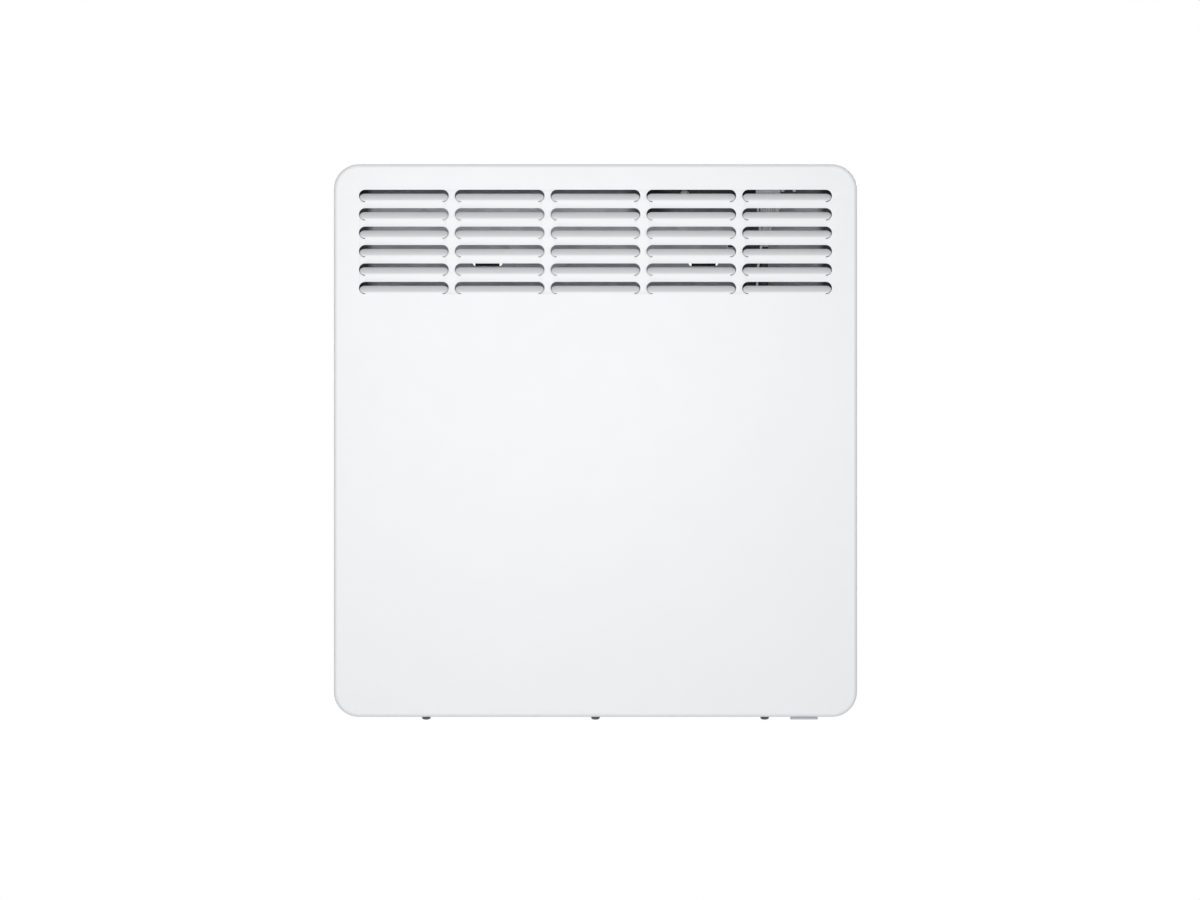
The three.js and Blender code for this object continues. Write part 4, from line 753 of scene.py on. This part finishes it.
bevel_edges(bm, [rear_edge], HEM_BEND, 4)
bmesh.ops.recalc_face_normals(bm, faces=bm.faces)
front_faces = [f for f in bm.faces if all(level_with(v, 1, casing_low.y) for v in f.verts)]
if sum(f.normal.y * f.calc_area() for f in front_faces) > 0:
    bmesh.ops.reverse_faces(bm, faces=bm.faces)
print("hem folded; front faces point to", round(front_faces[0].normal.y))

# %% The sheet's thickness, and what is cut from its edges
casing = piece("casing", bm, "front_casing", smooth=35)
thickness = casing.modifiers.new("sheet", "SOLIDIFY")
thickness.thickness = SHEET
thickness.offset = -1
thickness.use_even_offset = True
LIP = 28 * MM  # what is left of the bottom wall in front of the air inlet
INLET_HALF = 190 * MM
INLET_BACK = 10 * MM  # beyond the casing's rear edge
INLET_CORNER = 6 * MM
BEZEL_GAP = 0.5 * MM
BEZEL_CORNER = 4.5 * MM
SWITCH_GAP = 0.6 * MM
SWITCH_CORNER = 1.5 * MM
SCREW_XS = [-138 * MM, 0, 138 * MM]
SCREW_INSET = 14 * MM  # from the casing's front
SCREW_HOLE = 2.2 * MM
THROUGH = 4 * MM


def window(low, high, gap, z, radius):
    """A cutter through the sheet at one height, wider all round than a box by a gap."""
    bm = bmesh.new()
    first = (low[0] - gap, low[1] - gap, z - THROUGH)
    last = (high[0] + gap, high[1] + gap, z + THROUGH)
    rounded_block(bm, first, last, radius)
    return bm


inlet_low, inlet_high = (-INLET_HALF, casing_low.y + LIP), (INLET_HALF, INLET_BACK)
cutters = [
    window(inlet_low, inlet_high, 0, casing_low.z, INLET_CORNER),
    window(*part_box("control_bezel"), BEZEL_GAP, casing_high.z, BEZEL_CORNER),
    window(*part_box("switch_housing"), SWITCH_GAP, casing_low.z, SWITCH_CORNER),
]
for x in SCREW_XS:
    middle = (x, casing_low.y + SCREW_INSET)
    cutters.append(window(middle, middle, SCREW_HOLE, casing_low.z, SCREW_HOLE))
cut(casing, *cutters)
weigh_normals(casing)
report(casing)

# %% [markdown]
# ## Turned pieces: screws
# A screw is round, so half of its outline, spun once round its axis, gives its whole form. The
# cross recess is then cut by two tapered blades. The three screws underneath are dark plated, and
# their low pan heads just show below the casing. The others hold the works to the rear panel.

# %% A spun outline
def turned(bm, outline, at, direction, steps):
    """Spins [radius, height] points round an axis through a point. The ends lie on the axis."""
    up = Vector(direction).normalized()
    turn = up.to_track_quat("Z", "Y").to_matrix()
    corners = [bm.verts.new(Vector(at) + turn @ Vector((r * MM, 0, h * MM))) for r, h in outline]
    edges = [bm.edges.new(pair) for pair in zip(corners, corners[1:])]
    bmesh.ops.spin(
        bm,
        geom=corners + edges,
        cent=at,
        axis=up,
        angle=2 * math.pi,
        steps=steps,
        use_merge=True,
    )
    bmesh.ops.remove_doubles(bm, verts=bm.verts, dist=WELD)
    bmesh.ops.recalc_face_normals(bm, faces=bm.faces)


BLADE_THICKNESS = 0.48  # as a share of half of its length
BLADE_TAPER = 0.6


def recess_blade(at, direction, quarter, reach, deep):
    """A cutter that narrows as it goes down. The point is on the head's top."""
    bm = bmesh.new()
    place = (
        Matrix.Translation(at)
        @ Vector(direction).to_track_quat("Z", "Y").to_matrix().to_4x4()
        @ Matrix.Rotation(quarter, 4, "Z")
        @ Matrix.Diagonal((2 * reach * MM, BLADE_THICKNESS * reach * MM, 2 * deep * MM, 1))
    )
    blade = bmesh.ops.create_cube(bm, size=1, matrix=place)["verts"]
    low = sorted(blade, key=lambda v: (v.co - Vector(at)).dot(Vector(direction)))[:4]
    middle = sum((v.co for v in low), Vector()) / 4
    taper = (BLADE_TAPER, BLADE_TAPER, BLADE_TAPER)
    bmesh.ops.scale(bm, verts=low, vec=taper, space=Matrix.Translation(-middle))
    return bm


SHANK = 0.54  # as a share of the head's radius, like RECESS_REACH
RECESS_REACH = 0.52
RECESS_DEPTH = 0.62  # as a share of the head's height
THREAD_PITCH = 0.7
THREAD_ROOT = 0.82  # as a share of the shank's radius
UNDER_HEAD = 0.3  # from the head to the first thread
RUN_OUT = 1.3  # without a thread, at the tip
TIP = 0.3


def screw(node, head_radius, head_height, direction):
    """A pan-head screw whose head looks along a direction, in place of a plain one."""
    low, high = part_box(node)
    way = Vector(direction)
    tall = (high - low).dot(Vector(map(abs, way)))
    top = (low + high) / 2 + way * (tall / 2)
    length = tall / MM
    shank = SHANK * head_radius
    root = THREAD_ROOT * shank
    head = [
        (0, 0),
        (0.35 * head_radius, -0.03 * head_height),
        (0.7 * head_radius, -0.16 * head_height),
        (0.9 * head_radius, -0.36 * head_height),
        (head_radius, -0.62 * head_height),
        (head_radius, -0.93 * head_height),
        (0.97 * head_radius, -head_height),
    ]
    threads = [(shank, -head_height)]
    at = -head_height - UNDER_HEAD
    while at > -length + RUN_OUT:
        threads += [(root, at), (shank, at - THREAD_PITCH / 2)]
        at -= THREAD_PITCH
    tip = [(0.5 * shank, -length + TIP), (0, -length)]
    bm = bmesh.new()
    turned(bm, head + threads + tip, top, way, 28)
    made = piece(node + "_fine", bm, node, smooth=40)
    blades = [
        recess_blade(top, way, quarter, RECESS_REACH * head_radius, RECESS_DEPTH * head_height)
        for quarter in (0, math.pi / 2)
    ]
    cut(made, *blades)
    report(made)


DOWN = (0, 0, -1)
TO_WALL = (0, 1, 0)
TO_ROOM = (0, -1, 0)
BOTTOM_HEAD = (3.5, 2.4)  # each head has its radius and its height
SMALL_HEAD = (3.1, 2.0)
EARTH_HEAD = (3.6, 3.0)
for side in ("left", "middle", "right"):
    screw("bottom_screw_" + side, *BOTTOM_HEAD, DOWN)
for name in nodes:
    if "screw" in name and not name.startswith(("bottom", "earth")):
        screw(name, *SMALL_HEAD, TO_WALL)
screw("earth_screw", *EARTH_HEAD, TO_ROOM)
print(sum("screw" in name for name in nodes), "screws")

# %% [markdown]
# ## Latch springs
# A compression spring is one round wire, wound with open turns in the middle and with a closed
# turn at each end. Spin winds it: the wire's section turns round the axis and climbs at each step.
# The springs shorten when their latches are pressed down.

# %% Winding
SPRING_WIRE = 0.45 * MM  # the wire's radius
SPRING_TURNS = 7
CLOSED_TURNS = 0.9  # at each end
STEPS_PER_TURN = 24


def spring(side):
    """One latch's spring, wound upwards from its foot."""
    node = "latch_spring_" + side
    low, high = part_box(node)
    axis = (low + high) / 2
    coil = (high.x - low.x) / 2 - SPRING_WIRE
    start = Vector((axis.x + coil, axis.y, low.z + SPRING_WIRE))
    bm = bmesh.new()
    bmesh.ops.create_circle(
        bm,
        segments=10,
        radius=SPRING_WIRE,
        cap_ends=False,
        matrix=Matrix.Translation(start) @ Matrix.Rotation(math.pi / 2, 4, "X"),
    )
    section = [*bm.verts, *bm.edges]
    ends = [list(bm.edges)]
    closed_rise = 2 * SPRING_WIRE * CLOSED_TURNS
    open_turns = SPRING_TURNS - 2 * CLOSED_TURNS
    open_rise = high.z - low.z - 2 * SPRING_WIRE - 2 * closed_rise
    closed = (CLOSED_TURNS, closed_rise)
    for turns, rise in (closed, (open_turns, open_rise), closed):
        steps = round(turns * STEPS_PER_TURN)
        section = bmesh.ops.spin(
            bm,
            geom=section,
            cent=(axis.x, axis.y, 0),
            axis=(0, 0, 1),
            dvec=(0, 0, rise / steps),
            angle=turns * 2 * math.pi,
            steps=steps,
        )["geom_last"]
    ends.append([g for g in section if isinstance(g, bmesh.types.BMEdge)])
    for edges in ends:
        bmesh.ops.holes_fill(bm, edges=edges)
    bmesh.ops.recalc_face_normals(bm, faces=bm.faces)
    made = piece(node + "_wound", bm, node, smooth=60)
    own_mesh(made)
    print(made.name, "from z", *(round(made.bound_box[corner][2] / MM, 2) for corner in (0, 6)))


for side in ("left", "right"):
    spring(side)

# %% [markdown]
# ## Wires
# Behind the louvres of the right-hand column a row of light wires leaves the control unit's plug,
# draws together and goes down in a black sleeve: four twin leads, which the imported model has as
# four single tubes. One thin white lead runs beside them. A curve with a round section has the
# right form for a wire, and it becomes a mesh once its points are set.

# %% A wire along its points
def wire(name, strands, radius, node):
    """Round strands through lists of points in millimetres, in place of a plain wire."""
    curve = bpy.data.curves.new(name, "CURVE")
    curve.dimensions = "3D"
    curve.resolution_u = 10
    curve.bevel_depth = radius * MM
    curve.bevel_resolution = 3
    curve.use_fill_caps = True
    for points in strands:
        spline = curve.splines.new("BEZIER")
        spline.bezier_points.add(len(points) - 1)
        for knot, point in zip(spline.bezier_points, points):
            knot.co = Vector(point) * MM
            knot.handle_left_type = knot.handle_right_type = "AUTO"
    drawn = bpy.data.objects.new(name, curve)
    bpy.context.scene.collection.objects.link(drawn)
    bpy.context.view_layer.update()
    evaluated = drawn.evaluated_get(bpy.context.evaluated_depsgraph_get())
    bm = bmesh.new()
    bm.from_mesh(evaluated.to_mesh())
    evaluated.to_mesh_clear()
    bpy.data.objects.remove(drawn)
    bmesh.ops.remove_doubles(bm, verts=bm.verts, dist=WELD)
    bmesh.ops.recalc_face_normals(bm, faces=bm.faces)
    report(piece(name, bm, node, smooth=50))


# %% The loom's eight strands, in pairs
WIRE_RADIUS = 0.98
WIRE_PITCH = 4.2
BUNDLE_RADIUS = 2.26  # from the middle strand to the seven round it, in the sleeve's mouth
BUNDLE = [180, 129, 231, None, 77, 283, 26, 334]  # the strands' places there, in degrees
LOOM_INSET = 18  # from the casing's front
WELL_DEPTH = 1.5  # of the plug's hollow, where the wires begin
SEAT = 0.3  # the gap to what a wire or the sleeve ends at
LOOM_X = 137.6
plug_low, plug_high = (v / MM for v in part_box("control_plug"))
plug_x = (plug_low.x + plug_high.x) / 2
well_z = plug_low.z + WELL_DEPTH
sleeve_low, sleeve_high = (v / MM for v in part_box("loom_sleeve"))
mouth_z = sleeve_high.z
loom_y = casing_low.y / MM + LOOM_INSET


def strand(i):
    """One of the loom's eight strands, which lie side by side at the plug."""
    top_x = plug_x + (i / 2 - 1.25) * WIRE_PITCH
    end_x, end_y = LOOM_X, loom_y
    if BUNDLE[i] is not None:
        end_x += BUNDLE_RADIUS * math.cos(math.radians(BUNDLE[i]))
        end_y += BUNDLE_RADIUS * math.sin(math.radians(BUNDLE[i]))
    return [
        (top_x, loom_y, well_z),
        (top_x, loom_y, well_z - 6),
        ((top_x * 3 + end_x) / 4, (loom_y * 3 + end_y) / 4, well_z - 15),
        ((top_x + end_x * 3) / 4, (loom_y + end_y * 3) / 4, mouth_z + 14),
        (end_x, end_y, mouth_z + 4),
        (end_x, end_y, mouth_z + SEAT),
    ]


for i in range(4):
    pair = [strand(2 * i), strand(2 * i + 1)]
    wire(f"loom_wire_{i + 1}_twin", pair, WIRE_RADIUS, f"loom_wire_{i + 1}")

# %% The room sensor's lead
LEAD_OFFSET = 5  # from the sleeve's middle, to the left and to the front
sensor_low, sensor_high = (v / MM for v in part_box("room_sensor"))
sensor_x = (sensor_low.x + sensor_high.x) / 2
sensor_z = (sensor_low.z + sensor_high.z) / 2
lead_x = LOOM_X - LEAD_OFFSET
lead_y = loom_y - LEAD_OFFSET
lead_top = plug_x - 2 * WIRE_PITCH
wire(
    "sensor_lead_round",
    [[
        (lead_top, loom_y, well_z),
        (lead_top, loom_y, well_z - 6),
        (lead_x + 1.6, lead_y + 1.5, mouth_z + 14),
        (lead_x + 2.4, lead_y, mouth_z - 1),
        (lead_x, lead_y, mouth_z - 17),
        (lead_x, lead_y, 0),
        (lead_x, lead_y, sensor_z + 60),
        (lead_x + 1.5, lead_y + 1, sensor_z + 22),
        (sensor_x - 8, sensor_low.y - 20, sensor_z + 5),
        (sensor_x - 1, sensor_low.y - 10, sensor_z),
        (sensor_x, sensor_low.y - SEAT, sensor_z),
    ]],
    WIRE_RADIUS,
    "sensor_lead",
)

# %% The sleeve, from the loom down to the terminal block
SLEEVE_RADIUS = 3.2
ENTRY_LEFT = 11  # from the terminal block's middle to where the sleeve ends
ENTRY_FRONT = 5.5  # and from its back
terminal_low, terminal_high = (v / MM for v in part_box("terminal_block"))
entry_x = (terminal_low.x + terminal_high.x) / 2 - ENTRY_LEFT
entry_y = terminal_high.y - ENTRY_FRONT
wire(
    "loom_sleeve_round",
    [[
        (LOOM_X, loom_y, mouth_z),
        (LOOM_X, loom_y, 60),
        (LOOM_X, loom_y, -40),
        (LOOM_X, loom_y, -75),
        (LOOM_X + 0.5, loom_y + 0.3, -83),
        (LOOM_X + 8, loom_y + 12, terminal_high.z + 36),
        (entry_x + 1, loom_y + 36, terminal_high.z + 15),
        (entry_x, entry_y, terminal_high.z + 7),
        (entry_x, entry_y, terminal_high.z + SEAT),
    ]],
    SLEEVE_RADIUS,
    "loom_sleeve",
)
print("wires drawn")

# %% [markdown]
# ## Pieces with softened edges
# Cut sheet and moulded plastic never end in a perfectly sharp edge. The remaining solids already
# have the right form, so each is copied, its flat faces are merged, and its edges are rounded:
# widely on rubber and plastic, by a hair on sheet. The plug then gets a darker copy of its
# plastic, which paints the shade that it lies in.

# %% A softened copy
FLAT, SHARP = math.radians(1), math.radians(32)


def softened(node, width):
    """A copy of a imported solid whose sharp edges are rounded, by a width in millimetres."""
    bm = bmesh.new()
    bm.from_mesh(nodes[node].data)
    bm.transform(nodes[node].matrix_world)
    bmesh.ops.remove_doubles(bm, verts=bm.verts, dist=2 * WELD)
    bmesh.ops.dissolve_limit(bm, angle_limit=FLAT, verts=bm.verts, edges=bm.edges)
    sharp = [e for e in bm.edges if e.is_manifold and e.calc_face_angle() > SHARP]
    bevel_edges(bm, sharp, width * MM, 2)
    bmesh.ops.recalc_face_normals(bm, faces=bm.faces)
    made = piece(node + "_soft", bm, node, smooth=50)
    weigh_normals(made)
    return made


EDGE_WIDTHS = {  # in millimetres
    "control_bezel": 0.35,
    "control_housing": 0.5,
    "display_window": 0.25,
    "display_module": 0.3,
    "control_board": 0.1,
    "button_": 0.4,
    "button_switch_": 0.2,
    "switch_housing": 0.4,
    "switch_rocker": 0.25,
    "control_plug": 0.3,
    "terminal_block": 0.4,
    "thermal_cutout": 0.3,
    "loom_clip_": 0.25,
    "sensor_clip": 0.25,
    "cable_bush": 0.3,
    "lead_grommet": 0.2,
    "room_sensor": 0.1,
    "rod_bush_": 0.25,
    "heating_rod": 0.2,
    "heating_fins": 0.12,
    "rear_panel": 0.15,
    "partition": 0.15,
    "element_holder": 0.15,
    "bracket_": 0.3,
    "latch_left": 0.3,
    "latch_right": 0.3,
}
for name in nodes:
    matches = [start for start in EDGE_WIDTHS if name.startswith(start)]
    if matches and "screw" not in name:
        report(softened(name, EDGE_WIDTHS[max(matches, key=len)]))

# %% The plug's plastic: greyer than the housing's, a painted shade for the shadow the plug lies in
plug_plastic_painted_shade = finish("plug_plastic_painted_shade", srgb(172, 174, 177), 0.5)
tint(plug_plastic_painted_shade, noise(plug_plastic_painted_shade, 60), srgb(168, 170, 173), srgb(177, 179, 182))
relief(plug_plastic_painted_shade, noise(plug_plastic_painted_shade, 2400, detail=1), 0.02 * MM, 0.7)
bpy.data.objects["control_plug_soft"].data.materials[0] = plug_plastic_painted_shade

# %% [markdown]
# ## Daylight behind the latches
# Through the fifth row of louvres the photograph shows each latch as a black bar with a bright
# spot at both ends, where the light of the wall comes through. So the upper channel gets a cut-out
# behind each latch.

# %% Cut-outs in the upper channel
def front_window(middle_x, half_width, heights, depths, radius):
    """A cutter through a sheet that faces the room."""
    bm = bmesh.new()
    low = (middle_x - half_width, heights[0], -depths[1])
    high = (middle_x + half_width, heights[1], -depths[0])
    rounded_block(bm, low, high, radius)
    bmesh.ops.transform(bm, matrix=FACING_ROOM, verts=bm.verts)
    return bm


CUT_OUT_HALF = 12.5 * MM
CUT_OUT_HEIGHTS = (143.8 * MM, 153 * MM)
CUT_OUT_DEPTHS = (-3 * MM, 2 * MM)  # before and behind the channel's sheet
CUT_OUT_CORNER = 3.5 * MM
channel = bpy.data.objects["bracket_channel_upper_soft"]
for side in ("left", "right"):
    low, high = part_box("latch_" + side)
    x = (low.x + high.x) / 2
    cut(channel, front_window(x, CUT_OUT_HALF, CUT_OUT_HEIGHTS, CUT_OUT_DEPTHS, CUT_OUT_CORNER))
weigh_normals(channel)
report(channel)

# %% [markdown]
# ## Marks on the buttons and the switch
# Each button has a plain sign, and the rocker has a bar for on and a ring for off. The signs are
# thin raised shapes in dark plastic, and they ride on what they are on.

# %% Bars and rings
MARK_RISE = 0.12 * MM
MARK_LENGTH = 3.2 * MM
LINE = 0.5 * MM


def bar(bm, centre, width, depth, place):
    """A flat bar with round corners, turned and moved by place."""
    before = set(bm.verts)
    rounded_block(
        bm,
        (centre[0] - width / 2, centre[1] - depth / 2, -MARK_RISE),
        (centre[0] + width / 2, centre[1] + depth / 2, MARK_RISE),
        min(width, depth) * 0.35,
        3,
    )
    bmesh.ops.transform(bm, matrix=place, verts=[v for v in bm.verts if v not in before])


def ring(bm, radius, line, place):
    """A flat ring, turned and moved by place."""
    before = set(bm.verts)
    inner, outer = (radius - line / 2) / MM, (radius + line / 2) / MM
    rise = MARK_RISE / MM
    section = [(inner, -rise), (outer, -rise), (outer, rise), (inner, rise), (inner, -rise)]
    turned(bm, section, (0, 0, 0), (0, 0, 1), 32)
    bmesh.ops.transform(bm, matrix=place, verts=[v for v in bm.verts if v not in before])


# %% Signs on the buttons
MENU_PITCH = 1.1 * MM
ARM_LENGTH = 1.3 * MM  # of the plus, above and below its level bar
ARM_OFFSET = 0.95 * MM
BUTTON_RING = 1.35 * MM
level_bar = ((0, 0), MARK_LENGTH, LINE)  # each bar has its centre, its width and its depth
SIGNS = {
    "menu": [((0, row * MENU_PITCH), MARK_LENGTH, LINE) for row in (1, 0, -1)],
    "minus": [level_bar],
    "plus": [level_bar, *(((0, row * ARM_OFFSET), LINE, ARM_LENGTH) for row in (1, -1))],
    "confirm": [],  # a ring
}
for use, bars in SIGNS.items():
    low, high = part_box("button_" + use)
    top = Matrix.Translation(((low.x + high.x) / 2, (low.y + high.y) / 2, high.z))
    bm = bmesh.new()
    for centre, width, depth in bars:
        bar(bm, centre, width, depth, top)
    if not bars:
        ring(bm, BUTTON_RING, LINE, top)
    addition(f"button_{use}_sign", bm, "button_" + use, "dark_plastic")
print(len(SIGNS), "signs on the buttons")

# %% Signs on the rocker
ROCKER_TILT = math.radians(6)
FACE_SLOPE = math.radians(5.4)  # of each half of the rocker's face
FACE_DROP = 2.2 * MM  # from the pivot to the middle of each half
SIGN_REACH = 4.4 * MM
ROCKER_RING = 1.4 * MM
PIVOT_Z = -223.5 * MM
low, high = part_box("switch_rocker")
pivot = Vector(((low.x + high.x) / 2, (low.y + high.y) / 2, PIVOT_Z))
tilted = Matrix.Translation(pivot) @ Matrix.Rotation(ROCKER_TILT, 4, "Y")
for sign, side in (("off", -1), ("on", 1)):
    half = (
        tilted
        @ Matrix.Translation((side * SIGN_REACH, 0, -FACE_DROP))
        @ Matrix.Rotation(side * FACE_SLOPE, 4, "Y")
    )
    bm = bmesh.new()
    if sign == "on":
        bar(bm, (0, 0), LINE, MARK_LENGTH, half)
    else:
        ring(bm, ROCKER_RING, LINE, half)
    addition(f"rocker_{sign}_sign", bm, "switch_rocker", "dark_plastic")
print("a bar for on and a ring for off")

# %% Sizes, and the end
low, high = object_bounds()
print("visual box", [round(v / MM, 1) for corner in (low, high) for v in corner])
